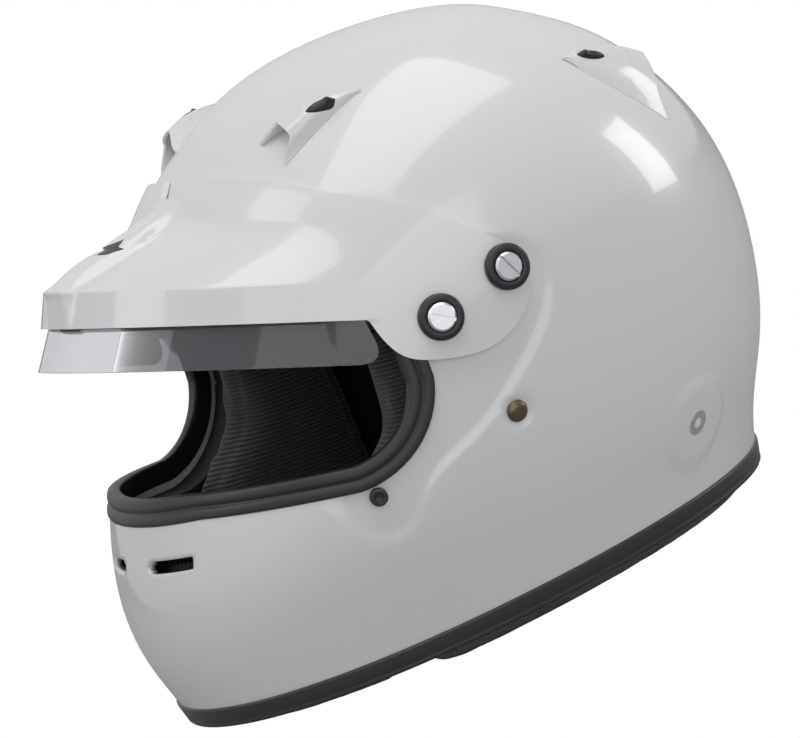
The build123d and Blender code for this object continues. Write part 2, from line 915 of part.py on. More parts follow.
# Chin foam with a pocket for the mesh and an air way behind each chin slot
mesh_half = slot_across + slot_length / 2 + mesh_margin
mesh_top = slot_height / 2 + mesh_margin


def chin_box(grow):
    """Box ahead of the chin, around both slots."""
    with BuildPart() as box:
        with BuildSketch(Plane.XZ):
            with Locations((0, slot_up)):
                Rectangle(2 * (mesh_half + grow), 2 * (mesh_top + grow))
        extrude(amount=shell_length)
    return box.part


mesh_back = mesh_depth + mesh_wall
mesh_room = chin_box(seat_gap).cut(skin(mesh_back + shell_wall + seat_gap))
stud_pocket = bore(stud_seat, -shell_wall - 2 * liner_gap, 0, stud_neck_radius + seat_gap)
with BuildPart() as chin_liner:
    add(liner_block)
    split(bisect_by=Plane.XY.offset(roll_height + seat_gap), keep=Keep.TOP)
    split(bisect_by=Plane.XZ.offset(-split_back + chin_joint), keep=Keep.TOP)
    split(bisect_by=Plane.XY.offset(split_top), keep=Keep.BOTTOM)
    add([mesh_room, chin_slots.part] + both([stud_pocket, snap_pockets[0]]), mode=Mode.SUBTRACT)
finish(chin_liner, "chin_liner")

mesh_skin = common(chin_box(0), skin(shell_wall + mesh_depth))
save([mesh_skin.cut(skin(shell_wall + mesh_back))], "chin_mesh")

# Chin straps: webbing from each rivet down the shell's inside and in above the neck roll
strap_back_place = rivet_seat.origin.Y
strap_in = strap_depth + strap_wall / 2
strap_plane = Plane.XZ.offset(-strap_back_place)
rivet_level = rivet_seat.origin.Z
strap_levels = [rivet_level + strap_above, rivet_level]
strap_levels += [rivet_level + (strap_level - rivet_level) * share for share in (0.35, 0.7, 1)]
hang = []
for level in strap_levels:
    back_share = strap_back_place / shell_length
    point = flank_seat((back_share, (level - rim_level) / shell_height)).origin
    hang.append((point.X - strap_in, level))


def webbing(points):
    """Strap along a path seen from the front."""
    with BuildPart() as body:
        with BuildSketch(strap_plane):
            with BuildLine() as path:
                FilletPolyline(*points, radius=strap_bend)
            trace(path.line, strap_wall)
        extrude(amount=strap_width / 2, both=True)
    return body.part


rivet_hole = bore(rivet_seat, -2 * strap_back, 0, rivet_radius + thread_gap)
fold = strap_fold_share * shell_width / 2
fold_points = [
    (fold, strap_level),
    (fold, strap_fold_low),
    (fold - strap_pitch, strap_fold_low),
    (fold - strap_pitch, strap_fold_high),
    (fold - 2 * strap_pitch, strap_fold_high),
    (fold - 2 * strap_pitch, strap_end),
]
snap_plane = Plane(
    origin=(fold - 2 * strap_pitch - strap_wall / 2, strap_back_place, snap_level),
    x_dir=(0, 1, 0),
    z_dir=(-1, 0, 0),
)
snap_hole = bore(snap_plane, -strap_wall - snap_tail, strap_wall, snap_stem_radius + thread_gap)
save([webbing(hang + fold_points).cut(rivet_hole, snap_hole)], "strap_left")
strap_snap = turned(
    snap_plane,
    [
        (0, -strap_wall - snap_tail),
        (2 * snap_stem_radius, -strap_wall - snap_tail),
        (2 * snap_stem_radius, -strap_wall),
        (snap_stem_radius, -strap_wall),
        (snap_stem_radius, 0),
        (snap_radius, 0),
        (snap_radius, snap_height / 2),
        (snap_radius / 2, snap_height),
        (0, snap_height),
    ],
)
save([strap_snap], "strap_snap")

# Short strap on the right, its end a loop round the two D-ring bars
ring_across = ring_across_share * shell_width / 2
loop_half = ring_pitch / 2 + ring_wire + loop_gap
loop_rise = ring_wire + loop_gap
inner_bar = ring_across - ring_pitch / 2
outer_bar = ring_across + ring_pitch / 2
strap_turn = (strap_turn_share * shell_width / 2, strap_level)
loop_end = (ring_across + loop_half + strap_wall / 2, ring_level)
with BuildPart() as short_strap:
    with BuildSketch(strap_plane):
        with BuildLine() as path:
            FilletPolyline(*hang, strap_turn, loop_end, radius=strap_bend)
        trace(path.line, strap_wall)
        with Locations((ring_across, ring_level)):
            SlotOverall(2 * (loop_half + strap_wall), 2 * (loop_rise + strap_wall))
            SlotOverall(2 * loop_half, 2 * loop_rise, mode=Mode.SUBTRACT)
    extrude(amount=strap_width / 2, both=True)
save([short_strap.part.cut(rivet_hole).mirror(Plane.YZ)], "strap_right")

for name, across in (("d_ring_inner", -inner_bar), ("d_ring_outer", -outer_bar)):
    ring_plane = Plane(origin=(across, strap_back_place, ring_level), x_dir=(0, 1, 0), z_dir=(1, 0, 0))
    half, drop = ring_inside / 2 + ring_wire, ring_depth + 2 * ring_wire
    with BuildPart() as d_ring:
        with BuildLine(ring_plane) as path:
            bar = Line((-half, 0), (half, 0))
            bow = ThreePointArc((half, 0), (0, -drop), (-half, 0))
            fillet(path.vertices(), ring_corner)
        with BuildSketch(Plane(origin=path.edges().sort_by(Axis.Z)[-1] @ 0.5, z_dir=(0, 1, 0))):
            Circle(ring_wire)
        sweep(path=path.wire())
    save([d_ring.part], name)

# Soft parts: neck roll, chin curtain, cheek pads, brow and crown pads


def rim_ring(rows, foot, height):
    """Padded ring section along the rim: rows give height share and inset."""
    _, front, back, half, fullness = skin_row_shares[1]
    sections = []
    for rise, inset in rows:
        sections.append(
            level_outline(
                foot + rise * height,
                front * shell_length - inset,
                back * shell_length - inset,
                half * shell_width / 2 - inset,
                fullness,
            )
        )
    with BuildPart() as body:
        loft(sections)
    return body.part


def rim_pad(outer_rows, inner_rows, foot, height, cut, keep):
    """Padded ring along the rim, cut across at a place."""
    grown = [(-0.05, inner_rows[0][1])] + inner_rows[1:-1] + [(1.05, inner_rows[-1][1])]
    with BuildPart() as body:
        add(rim_ring(outer_rows, foot, height))
        add(rim_ring(grown, foot, height), mode=Mode.SUBTRACT)
        split(bisect_by=Plane.XZ.offset(-cut), keep=keep)
    return body.part


roll_cut = roll_front_share * shell_length
save([rim_pad(roll_outer_rows, roll_inner_rows, 0, roll_height, roll_cut, Keep.BOTTOM)], "neck_roll")
curtain_cut = roll_cut - curtain_gap
curtain_height = roll_height - curtain_foot
save(
    [rim_pad(curtain_outer_rows, curtain_inner_rows, curtain_foot, curtain_height, curtain_cut, Keep.TOP)],
    "chin_curtain",
)

pad_outer = skin(liner_depth + pad_gap, crown_liner - side_liner, liner_depth_shares)
pad_inner = skin(
    liner_depth + pad_gap + crown_pad_wall, crown_liner - side_liner, liner_depth_shares
)
cheek_points = [side(place) for place in cheek_shares]
cheek_middle = (
    sum(point[0] for point in cheek_points) / len(cheek_points),
    sum(point[1] for point in cheek_points) / len(cheek_points),
)
cheek_start = cheek_inner_share * shell_width / 2
cheek_sections = []
for depth, size in cheek_rows + [(cheek_reach, 1.0)]:
    with BuildSketch(Plane.YZ.offset(cheek_start + depth * cheek_depth)) as section:
        with BuildLine():
            Polyline([mix(cheek_middle, point, size) for point in cheek_points], close=True)
        make_face()
        fillet(section.vertices(), cheek_corner * size)
    cheek_sections.append(section.sketch)
with BuildPart() as cheek_block:
    loft(cheek_sections)
with BuildPart() as cheek_channel:
    with BuildSketch(Plane.XY):
        with Locations((cheek_start, cheek_middle[0])):
            Rectangle(2 * cheek_groove, pad_channel)
    extrude(amount=shell_height)
cheek_pad = common(cheek_block.part, pad_outer).cut(cheek_channel.part, *snap_pockets)
for name, piece in zip(("cheek_pad_left", "cheek_pad_right"), both_sides(cheek_pad)):
    save([piece], name)

snaps = [
    bore(seat, -liner_depth - pad_snap_height / 2, -liner_depth + pad_snap_height / 2, pad_snap_radius)
    for seat in snap_seats
]
save(both(snaps), "pad_snaps")

with BuildPart() as crown_side:
    with BuildSketch(Plane.YZ):
        with BuildLine():
            Polyline(
                [side(place) for place in crown_edge_shares]
                + [side((crown_edge_shares[-1][0], 1.1)), side((crown_edge_shares[0][0], 1.1))],
                close=True,
            )
        make_face()
    extrude(amount=shell_width, both=True)
with BuildPart() as channel_boxes:
    channel_across = pad_channel_share * shell_width / 2
    with BuildSketch(Plane.XY.offset(rim_level + shell_height / 2)):
        with Locations((channel_across, 0), (-channel_across, 0)):
            Rectangle(pad_channel, 2 * shell_length)
    extrude(amount=shell_height)
pad_layer = pad_outer.cut(pad_inner)
crown_layer = common(crown_side.part, pad_layer)
channel_floor = skin(
    liner_depth + pad_gap + crown_pad_wall - channel_sink, crown_liner - side_liner, liner_depth_shares
)
crown_grooves = common(channel_boxes.part, channel_floor)
save([crown_layer.cut(crown_grooves)], "crown_pad")

with BuildPart() as brow_pad:
    add(pad_layer)
    split(bisect_by=Plane.XZ.offset(-side(crown_edge_shares[0])[0] + curtain_gap), keep=Keep.TOP)
    split(bisect_by=Plane.XY.offset(split_top), keep=Keep.TOP)
    add(side_prism(port, 3 * port_relief), mode=Mode.SUBTRACT)
finish(brow_pad, "brow_pad")
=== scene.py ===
import json
import math

import bpy
import numpy as np
from mathutils import Matrix, Vector


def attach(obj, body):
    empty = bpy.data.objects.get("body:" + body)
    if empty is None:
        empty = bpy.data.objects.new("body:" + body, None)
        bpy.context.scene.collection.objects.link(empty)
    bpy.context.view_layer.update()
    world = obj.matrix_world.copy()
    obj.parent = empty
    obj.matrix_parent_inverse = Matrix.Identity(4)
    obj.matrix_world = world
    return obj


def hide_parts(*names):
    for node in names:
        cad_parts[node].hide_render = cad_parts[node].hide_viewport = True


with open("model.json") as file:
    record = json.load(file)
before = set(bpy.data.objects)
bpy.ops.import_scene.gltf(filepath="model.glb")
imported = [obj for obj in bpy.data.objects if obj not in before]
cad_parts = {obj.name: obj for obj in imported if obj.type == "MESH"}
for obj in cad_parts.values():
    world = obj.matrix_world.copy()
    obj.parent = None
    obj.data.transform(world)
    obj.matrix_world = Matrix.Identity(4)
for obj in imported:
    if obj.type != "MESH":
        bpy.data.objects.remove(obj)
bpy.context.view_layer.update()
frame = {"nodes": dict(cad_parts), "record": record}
mm = 0.001


def linked(name, data):
    # a new object with its data, in the scene
    item = bpy.data.objects.new(name, data)
    bpy.context.scene.collection.objects.link(item)
    return item


def addNode(tree, kind, inputs=None, **settings):
    # a shader node with its settings and its inputs' values
    node = tree.nodes.new("ShaderNode" + kind)
    for key, value in settings.items():
        setattr(node, key, value)
    for key, value in (inputs or {}).items():
        node.inputs[key].default_value = value
    return node


def wire(tree, *joints):
    # each joint is a node, its output, the next node and its input
    for source, output, target, socket in joints:
        tree.links.new(source.outputs[output], target.inputs[socket])


# ---------- camera and light come first, because the rest is judged through them
view = {
    "target": (0.0, -7.85, 115.88),   # mm, the point in the middle of the picture
    "azimuth": 65.527,                # degrees round from straight ahead of the chin
    "elevation": 10.601,
    "roll": -21.909,                  # the helmet is seen nose down
    "distance": 2806.8,               # mm
    "lens": 273.3, "sensor": 36,      # mm
    "clip": (0.05, 50),               # metres
}


def placeCamera():
    # the camera looks along minus its own Z; its axes are the view's right, up and back
    az, el, roll = (math.radians(view[key]) for key in ("azimuth", "elevation", "roll"))
    back = Vector((math.sin(az) * math.cos(el), -math.cos(az) * math.cos(el), math.sin(el)))
    right = Vector((math.cos(az), math.sin(az), 0))
    up = back.cross(right)
    turnedRight = right * math.cos(roll) + up * math.sin(roll)
    turnedUp = up * math.cos(roll) - right * math.sin(roll)
    place = (Vector(view["target"]) + back * view["distance"]) * mm
    data = bpy.data.cameras.new("photoCamera")
    data.lens, data.sensor_width, data.sensor_fit = view["lens"], view["sensor"], "HORIZONTAL"
    data.clip_start, data.clip_end = view["clip"]
    camera = linked("photoCamera", data)
    axes = Matrix((turnedRight, turnedUp, back)).transposed().to_4x4()
    camera.matrix_world = Matrix.Translation(place) @ axes
    bpy.context.scene.camera = camera
    return turnedRight, turnedUp, back


lights = {
    # name: (right, up, back) place in metres from the helmet, size, power in watts
    "topSoftbox": ((-0.3, 2.0, 0.7), (2.4, 1.4), 20),
    "leftSoftbox": ((-2.1, 0.8, 0.9), (1.2, 1.8), 11),
    "rearStrip": ((1.9, 0.5, -0.25), (0.5, 2.0), 15),
    "frontFill": ((0.5, 0.2, 2.6), (2.6, 2.2), 19),
}


def placeLights(right, up, back):
    middle = Vector(view["target"]) * mm
    for name, (place, size, power) in lights.items():
        data = bpy.data.lights.new(name, "AREA")
        data.shape, data.energy = "RECTANGLE", power
        data.size, data.size_y = size
        spot = middle + right * place[0] + up * place[1] + back * place[2]
        facing = (spot - middle).to_track_quat("Z", "Y").to_matrix().to_4x4()
        linked(name, data).matrix_world = Matrix.Translation(spot) @ facing


sky = {
    "colour": (0.95, 0.97, 1.0, 1), "diffuse": 0.22,
    # mirrored rays see it brighter upwards: height of the ray against strength
    "heights": (-0.2, 0.5), "strengths": (0.6, 0.85),
}
white = (1, 1, 1, 1)


def buildSky():
    # the camera sees plain white
    world = bpy.data.worlds.new("studio")
    bpy.context.scene.world = world
    world.use_nodes = True
    tree = world.node_tree
    lit, result = tree.nodes["Background"], tree.nodes["World Output"]
    lit.inputs["Color"].default_value = sky["colour"]
    plain = addNode(tree, "Background", {"Color": white, "Strength": 1.0})
    ray, mix = addNode(tree, "LightPath"), addNode(tree, "MixShader")
    place, axes = addNode(tree, "TexCoord"), addNode(tree, "SeparateXYZ")
    ends = dict(zip(("From Min", "From Max", "To Min", "To Max"), sky["heights"] + sky["strengths"]))
    rise = addNode(tree, "MapRange", ends)
    strength = addNode(tree, "Mix", {"A": sky["diffuse"]})
    wire(tree, (place, "Generated", axes, 0), (axes, "Z", rise, "Value"), (rise, "Result", strength, "B"),
         (ray, "Is Glossy Ray", strength, "Factor"), (strength, "Result", lit, "Strength"),
         (ray, "Is Camera Ray", mix, 0), (lit, 0, mix, 1), (plain, 0, mix, 2), (mix, 0, result, "Surface"))


placeLights(*placeCamera())
buildSky()
bpy.context.scene.view_settings.view_transform = "Standard"
print("camera and lights placed")


# ---------- materials
def newMaterial(name, colour, rough, sockets):
    material = bpy.data.materials.new(name)
    material.use_nodes = True
    shader = material.node_tree.nodes["Principled BSDF"]
    for key, value in {"Base Color": (*colour, 1), "Roughness": rough, **sockets}.items():
        shader.inputs[key].default_value = value
    return material, material.node_tree, shader


surfaces = {
    # noise scale, bump strength and its height in metres, noise detail, span of the roughness, sockets
    "lacquer": (260, 0.02, 0.0004, 1, (0.9, 1.15), {"Coat Weight": 0.7, "Coat Roughness": 0.04, "IOR": 1.5}),
    "rubber": (900, 0.25, 0.0002, 3, (0.85, 1.2), {}),
    "metal": (500, 0.12, 0.0001, 3, (0.75, 1.3), {"Metallic": 1.0}),
    "smoke": (12, 0.004, 0.0002, 0, (2 / 3, 5 / 3), {"IOR": 1.45, "Transmission Weight": 0.72}),
}


def makeSurface(kind, name, colour, rough, scale=None, stretch=(1, 1, 1)):
    # a noise on Object coordinates drives the bump and the roughness
    usual, amount, height, detail, span, sockets = surfaces[kind]
    material, tree, shader = newMaterial(name, colour, rough, sockets)
    place, turn = addNode(tree, "TexCoord"), addNode(tree, "Mapping", {"Scale": stretch})
    noise = addNode(tree, "TexNoise", {"Scale": scale or usual, "Detail": detail})
    bump = addNode(tree, "Bump", {"Strength": amount, "Distance": height})
    spread = addNode(tree, "MapRange", {"To Min": rough * span[0], "To Max": rough * span[1]})
    wire(tree, (place, "Object", turn, "Vector"), (turn, "Vector", noise, "Vector"),
         (noise, "Fac", bump, "Height"), (bump, "Normal", shader, "Normal"),
         (noise, "Fac", spread, "Value"), (spread, "Result", shader, "Roughness"))
    return material


def makeCloth(name, colour, rough, sheen, bands, diagonals, share, bump, paintedShadeAndHighlight, paintedShadeTop=None):
    # bands and finer diagonals on the piece's own UV map, which is in millimetres, give the bump and a
    # painted relief: the colour is darker in the grooves as painted shade and lighter on the raised threads
    # as painted highlight;
    # when the painted shading has a top, both patterns drive it, without one only the diagonals do
    material, tree, shader = newMaterial(name, colour, rough, sheen)
    uv = addNode(tree, "UVMap", uv_map="cloth")
    direction, inputs = bands
    band = addNode(tree, "TexWave", inputs, bands_direction=direction)
    diagonal = addNode(tree, "TexWave", diagonals, bands_direction="DIAGONAL")
    blend = addNode(tree, "Math", {1: share}, operation="MULTIPLY_ADD")
    dent = addNode(tree, "Bump", bump)
    # painted shade and painted highlight: the cloth's colour scaled down and up by these shares
    dark, light = ((*[min(1, c * n) for c in colour], 1) for n in paintedShadeAndHighlight)
    paintedRelief = addNode(tree, "Mix", {"A": dark, "B": light}, data_type="RGBA")
    wire(tree, (uv, "UV", band, "Vector"), (uv, "UV", diagonal, "Vector"), (diagonal, "Fac", blend, 0),
         (band, "Fac", blend, 2), (blend, 0, dent, "Height"), (dent, "Normal", shader, "Normal"),
         (paintedRelief, "Result", shader, "Base Color"))
    # the painted shade and highlight follow the pattern that raises the bump, so the grooves come out darker
    if paintedShadeTop:
        shade = addNode(tree, "MapRange", {"From Max": paintedShadeTop})
        wire(tree, (blend, 0, shade, "Value"), (shade, "Result", paintedRelief, "Factor"))
    else:
        wire(tree, (diagonal, "Fac", paintedRelief, "Factor"))
    return material


def makeKnit(name, colour, ribs, depth):
    # rows of stitches along U, ribs across V
    return makeCloth(
        name, colour, 0.85, {"Sheen Weight": 0.35, "Sheen Roughness": 0.5},
        ("Y", {"Scale": ribs, "Distortion": 0.6, "Detail": 1.0}), {"Scale": ribs * 1.7, "Distortion": 1.2},
        # the shares of the painted shade and painted highlight, then the top of the painted shading
        0.35, {"Strength": 0.8, "Distance": depth}, (0.45, 1.7), 1.35)


def makeWebbing(name, colour):
    # fine picks across the strap and two herringbone halves
    return makeCloth(
        name, colour, 0.72, {"Sheen Weight": 0.25}, ("X", {"Scale": 0.26}),
        # the last pair: shares of the painted shade and painted highlight
        {"Scale": 0.16, "Distortion": 0.5}, 0.8, {"Strength": 0.7, "Distance": 0.0004}, (0.6, 1.5))


finishes = {
    "shell_white": makeSurface("lacquer", "shellLacquer", (0.80, 0.80, 0.795), 0.22),
    "peak_white": makeSurface("lacquer", "peakLacquer", (0.80, 0.80, 0.795), 0.24),
    "duct_white": makeSurface("lacquer", "ductLacquer", (0.79, 0.79, 0.785), 0.26),
    "smoke_clear": makeSurface("smoke", "smokeSheet", (0.22, 0.22, 0.235), 0.03),
    "black_rubber": makeSurface("rubber", "gasketRubber", (0.018, 0.018, 0.019), 0.42),
    "trim_rubber": makeSurface("rubber", "trimRubber", (0.035, 0.036, 0.038), 0.36),
    "ring_rubber": makeSurface("rubber", "screwRubber", (0.012, 0.012, 0.013), 0.4),
    "mesh_black": makeSurface("rubber", "meshPlastic", (0.012, 0.012, 0.012), 0.5, 400),
    "foam_dark": makeSurface("rubber", "foamBeads", (0.022, 0.022, 0.024), 0.7, 260),
    "screw_alu": makeSurface("metal", "turnedAluminium", (0.62, 0.62, 0.64), 0.28, None, (1, 0.06, 1)),
    "insert_steel": makeSurface("metal", "zincSteel", (0.5, 0.5, 0.52), 0.35),
    "rivet_brass": makeSurface("metal", "darkBrass", (0.14, 0.11, 0.07), 0.3),
    "stud_black": makeSurface("rubber", "studNylon", (0.02, 0.02, 0.02), 0.35),
    "anchor_alu": makeSurface("metal", "anchorAluminium", (0.6, 0.6, 0.62), 0.3),
    "shutter_black": makeSurface("rubber", "shutterNylon", (0.012, 0.012, 0.013), 0.32),
    "webbing_black": makeWebbing("strapWebbing", (0.015, 0.015, 0.017)),
    "ring_steel": makeSurface("metal", "ringSteel", (0.55, 0.55, 0.56), 0.25),
    "snap_black": makeSurface("rubber", "snapNylon", (0.02, 0.02, 0.02), 0.3),
    "knit_dark": makeKnit("knitLining", (0.085, 0.086, 0.094), 0.16, 0.0012),
    "knit_roll": makeKnit("knitRoll", (0.075, 0.076, 0.082), 0.28, 0.0007),
}
print("materials made")


# ---------- mesh helpers
def gridFaces(rows, columns, closeRows=False, closeColumns=False):
    # quads between neighbouring rows and columns of a grid of points
    rowSpan = np.arange(rows if closeRows else rows - 1)
    columnSpan = np.arange(columns if closeColumns else columns - 1)
    r, c = np.meshgrid(rowSpan, columnSpan, indexing="ij")
    r, r2, c2 = r * columns, (r + 1) % rows * columns, (c + 1) % columns
    return np.stack([r + c, r + c2, r2 + c2, r2 + c], -1).reshape(-1, 4)


def fan(ring, apex):
    # triangles from a closed ring of corner numbers to one corner
    return np.stack([ring, np.roll(ring, -1), np.full(len(ring), apex)], 1)


def capped(grid):
    # points, quads and end fans of a tube given as a grid with one ring in each row
    rows, count = grid.shape[:2]
    points = np.vstack([grid.reshape(-1, 3), grid[0].mean(0), grid[-1].mean(0)])
    ring = np.arange(count)
    fans = [fan(ring, len(points) - 2)[:, ::-1], fan((rows - 1) * count + ring, len(points) - 1)]
    return points, gridFaces(rows, count, closeColumns=True), np.concatenate(fans)


def makeMesh(name, points, quads, slotName, body="helmet", sharp=35, uv=None, triangles=None, hand="left"):
    # points in mm; quads and triangles are arrays of corner numbers; all are given for the left hand
    mesh = bpy.data.meshes.new(name)
    triangles = np.zeros((0, 3), int) if triangles is None else np.asarray(triangles, int)
    if hand == "right":
        points, quads, triangles = points * np.array([-1, 1, 1]), quads[:, ::-1], triangles[:, ::-1]
    used = np.concatenate([np.ravel(quads), np.ravel(triangles)]).astype(int)
    keep = np.zeros(len(points), bool)
    keep[used] = True
    corners = (np.cumsum(keep) - 1)[used]
    mesh.vertices.add(int(keep.sum()))
    mesh.vertices.foreach_set("co", (np.asarray(points, float)[keep] * mm).ravel())
    mesh.loops.add(len(corners))
    mesh.loops.foreach_set("vertex_index", corners)
    starts = np.concatenate([np.arange(len(quads)) * 4, len(quads) * 4 + np.arange(len(triangles)) * 3])
    mesh.polygons.add(len(starts))
    mesh.polygons.foreach_set("loop_start", starts)
    if uv is not None:
        layer = mesh.uv_layers.new(name="cloth")
        layer.data.foreach_set("uv", np.asarray(uv, float)[used].ravel())
    mesh.update(calc_edges=True)
    mesh.validate()
    mesh.polygons.foreach_set("use_smooth", np.ones(len(mesh.polygons), bool))
    mesh.set_sharp_from_angle(angle=math.radians(sharp))
    piece = linked(name, mesh)
    mesh.materials.append(finishes[slotName])
    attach(piece, body)
    return piece


def bevel(piece, width):
    edge = piece.modifiers.new("edge", "BEVEL")
    edge.width, edge.segments, edge.limit_method, edge.angle_limit = width, 2, "ANGLE", math.radians(60)


def smoothstep(x, low, high):
    t = np.clip((x - low) / (high - low), 0, 1)
    return t * t * (3 - 2 * t)


def naturalSpline(knots, values, places):
    # cubic pieces with matching slope and bend at each knot, straight at both ends
    knots, values, places = np.asarray(knots, float), np.asarray(values, float), np.asarray(places, float)
    n, gap = len(knots), np.diff(knots)
    system, right = np.eye(n), np.zeros(n)
    for k in range(1, n - 1):
        system[k, k - 1:k + 2] = gap[k - 1], 2 * (gap[k - 1] + gap[k]), gap[k]
        right[k] = 6 * ((values[k + 1] - values[k]) / gap[k] - (values[k] - values[k - 1]) / gap[k - 1])
    bend = np.linalg.solve(system, right)
    k = np.clip(np.searchsorted(knots, places) - 1, 0, n - 2)
    a, b, h = knots[k + 1] - places, places - knots[k], gap[k]
    return (bend[k] * a**3 + bend[k + 1] * b**3) / (6 * h) + (values[k] / h - bend[k] * h / 6) * a + (
        values[k + 1] / h - bend[k + 1] * h / 6) * b


def runningLength(path):
    return np.concatenate([[0], np.cumsum(np.linalg.norm(np.diff(path, axis=0), axis=1))])


def resample(path, count, closed=False):
    # points spread evenly along a polyline
    path = np.vstack([path, path[:1]]) if closed else path
    length = runningLength(path)
    places = np.linspace(0, length[-1], count + 1)[:-1] if closed else np.linspace(0, length[-1], count)
    return np.stack([np.interp(places, length, path[:, k]) for k in range(path.shape[1])], 1)


def outlineDistance(points, outline, block=4000):
    # signed distance in a plane from a closed outline, below zero inside
    start, stop = outline, np.roll(outline, -1, 0)
    edge = stop - start
    size = (edge**2).sum(1) + 1e-12
    result = np.empty(len(points))
    for first in range(0, len(points), block):
        p = points[first:first + block, None, :]
        share = np.clip(((p - start) * edge).sum(2) / size, 0, 1)
        near = np.sqrt((((start + share[..., None] * edge) - p) ** 2).sum(2)).min(1)
        above = (start[:, 1] > p[..., 1]) != (stop[:, 1] > p[..., 1])
        rise = np.where(edge[:, 1] == 0, 1e-9, edge[:, 1])
        cross = edge[:, 0] * (p[..., 1] - start[:, 1]) / rise + start[:, 0]
        inside = (above & (p[..., 0] < cross)).sum(1) % 2 == 1
        result[first:first + block] = np.where(inside, -near, near)
    return result


def nearestOn(points, outline):
    # the closest places on a closed outline of a plane
    start, edge = outline, np.roll(outline, -1, 0) - outline
    p = points[:, None, :]
    share = np.clip(((p - start) * edge).sum(2) / (edge**2).sum(1), 0, 1)
    near = start + share[..., None] * edge
    return near[np.arange(len(points)), ((near - p) ** 2).sum(2).argmin(1)]


def halved(shape, span, rounds, holds):
    # for each place, the last value of a span at which a test holds, by halving the span
    low, high = (np.full(shape, end) for end in span)
    for _ in range(rounds):
        mid = (low + high) / 2
        held = holds(mid)
        low, high = np.where(held, mid, low), np.where(held, high, mid)
    return low


# ---------- the shell's form, the same numbers as the solid
shell = {
    "length": 347.0, "width": 256.4, "height": 251.0, "rim": 18.0, "wall": 4.0,
    "recess": 1.6, "recessEdge": 6.0,
    # height, reach to the front and the back, half width, fuller flank
    "rows": np.array([
        (-0.050, 0.472, 0.402, 0.737, 0.02), (0.000, 0.481, 0.409, 0.757, 0.02),
        (0.084, 0.497, 0.431, 0.815, 0.02), (0.192, 0.497, 0.465, 0.909, 0.03),
        (0.326, 0.468, 0.492, 0.976, 0.03), (0.460, 0.423, 0.500, 0.998, 0.03),
        (0.595, 0.376, 0.485, 0.993, 0.03), (0.721, 0.319, 0.447, 0.938, 0.02),
        (0.833, 0.250, 0.385, 0.821, 0.02), (0.880, 0.208, 0.344, 0.739, 0.02),
        (0.921, 0.165, 0.301, 0.649, 0.01), (0.954, 0.119, 0.259, 0.550, 0.00),
        (0.978, 0.068, 0.208, 0.417, 0.00), (0.994, 0.006, 0.140, 0.225, 0.00),
        (1.000, -0.065, 0.065, 0.000, 0.00)]),
    "portEdge": 5.0, "crown": 0.065,
    "slotMiddle": 29.0, "slotUp": 88.53, "slotLong": 34.0, "slotHigh": 5.6,
    # the zone of the chin slots: ahead of a place, within a height; and how near a point is snapped to them
    "slotAhead": -100, "slotZone": 12, "slotSnap": 0.66, "slotHole": 0.1,
    # side view place, radius, height and soft edge of the rivet's dish and of the raised side boss
    "dishes": (((-0.053, 0.327), 8.7, -2.0, 3.7), ((0.217, 0.136), 22.0, 1.2, 1.6)),
}
outside = 99          # a distance that counts as far outside an outline


def meridianRun(rows):
    # running length of a mean meridian of a row table
    reach = (rows[:, 1] + rows[:, 2] + 2 * rows[:, 3]) / 4
    return np.concatenate([[0], np.cumsum(np.hypot(np.diff(rows[:, 0]), np.diff(reach)))])


# the row table in mm, and fine rows with the meridian's length as their parameter
skinScale = np.array([shell["height"], shell["length"], shell["length"], shell["width"] / 2, 1])
skinRows = shell["rows"] * skinScale
skinRows[:, 0] += shell["rim"]
skinKnots = meridianRun(skinRows)
fineRun = np.linspace(0, skinKnots[-1], 2400)
fineRows = np.stack([naturalSpline(skinKnots, skinRows[:, k], fineRun) for k in range(5)], 1)


def rowAt(run, columns):
    return [np.interp(run, fineRun, fineRows[:, k]) for k in columns]


def ovalAcross(turn, half, full):
    # the half width times sin plus a share of sin of three turns
    return half * (np.sin(turn) + full * np.sin(3 * turn)) / (1 - full)


def ovalCosine(y, front, back):
    # cosine of the turn at which an oval with these reaches passes a place seen from the side
    return (-y - (front - back) / 2) / np.maximum((front + back) / 2, 1e-6)


def ovalTurn(y, front, back):
    return np.arccos(np.clip(ovalCosine(y, front, back), -1, 1))


def skinAt(turn, run, inset=0.0):
    # level ovals: y is the reach times cos
    height, front, back, half, full = rowAt(run, range(5))
    middle, reach = (front - back) / 2, (front + back) / 2
    point = np.stack([ovalAcross(turn, half, full), -(middle + reach * np.cos(turn)), height + 0 * turn], -1)
    if np.any(inset):
        point = point - skinNormal(turn, run) * np.asarray(inset)[..., None]
    return point


def skinNormal(turn, run):
    # across the two directions of the surface, by small differences
    step, climb = 1e-3, 0.4
    alongTurn = skinAt(turn + step, run) - skinAt(turn - step, run)
    low, high = np.maximum(run - climb, 0), np.minimum(run + climb, fineRun[-1] - 1e-3)
    alongRun = skinAt(turn, high) - skinAt(turn, low)
    normal = np.cross(alongTurn, alongRun)
    return normal / np.maximum(np.linalg.norm(normal, axis=-1, keepdims=True), 1e-12)


def runAtHeight(height):
    return np.interp(height, fineRows[:, 0], fineRun)


def turnAtSide(y, height):
    # the turn at which the oval of a height passes a place seen from the side
    return ovalTurn(y, *rowAt(runAtHeight(height), (1, 2)))


def normalNear(points):
    # the skin's normal at points that lie on it
    turn = turnAtSide(points[..., 1], points[..., 2])
    return skinNormal(turn * np.where(points[..., 0] < 0, -1, 1), runAtHeight(points[..., 2]))


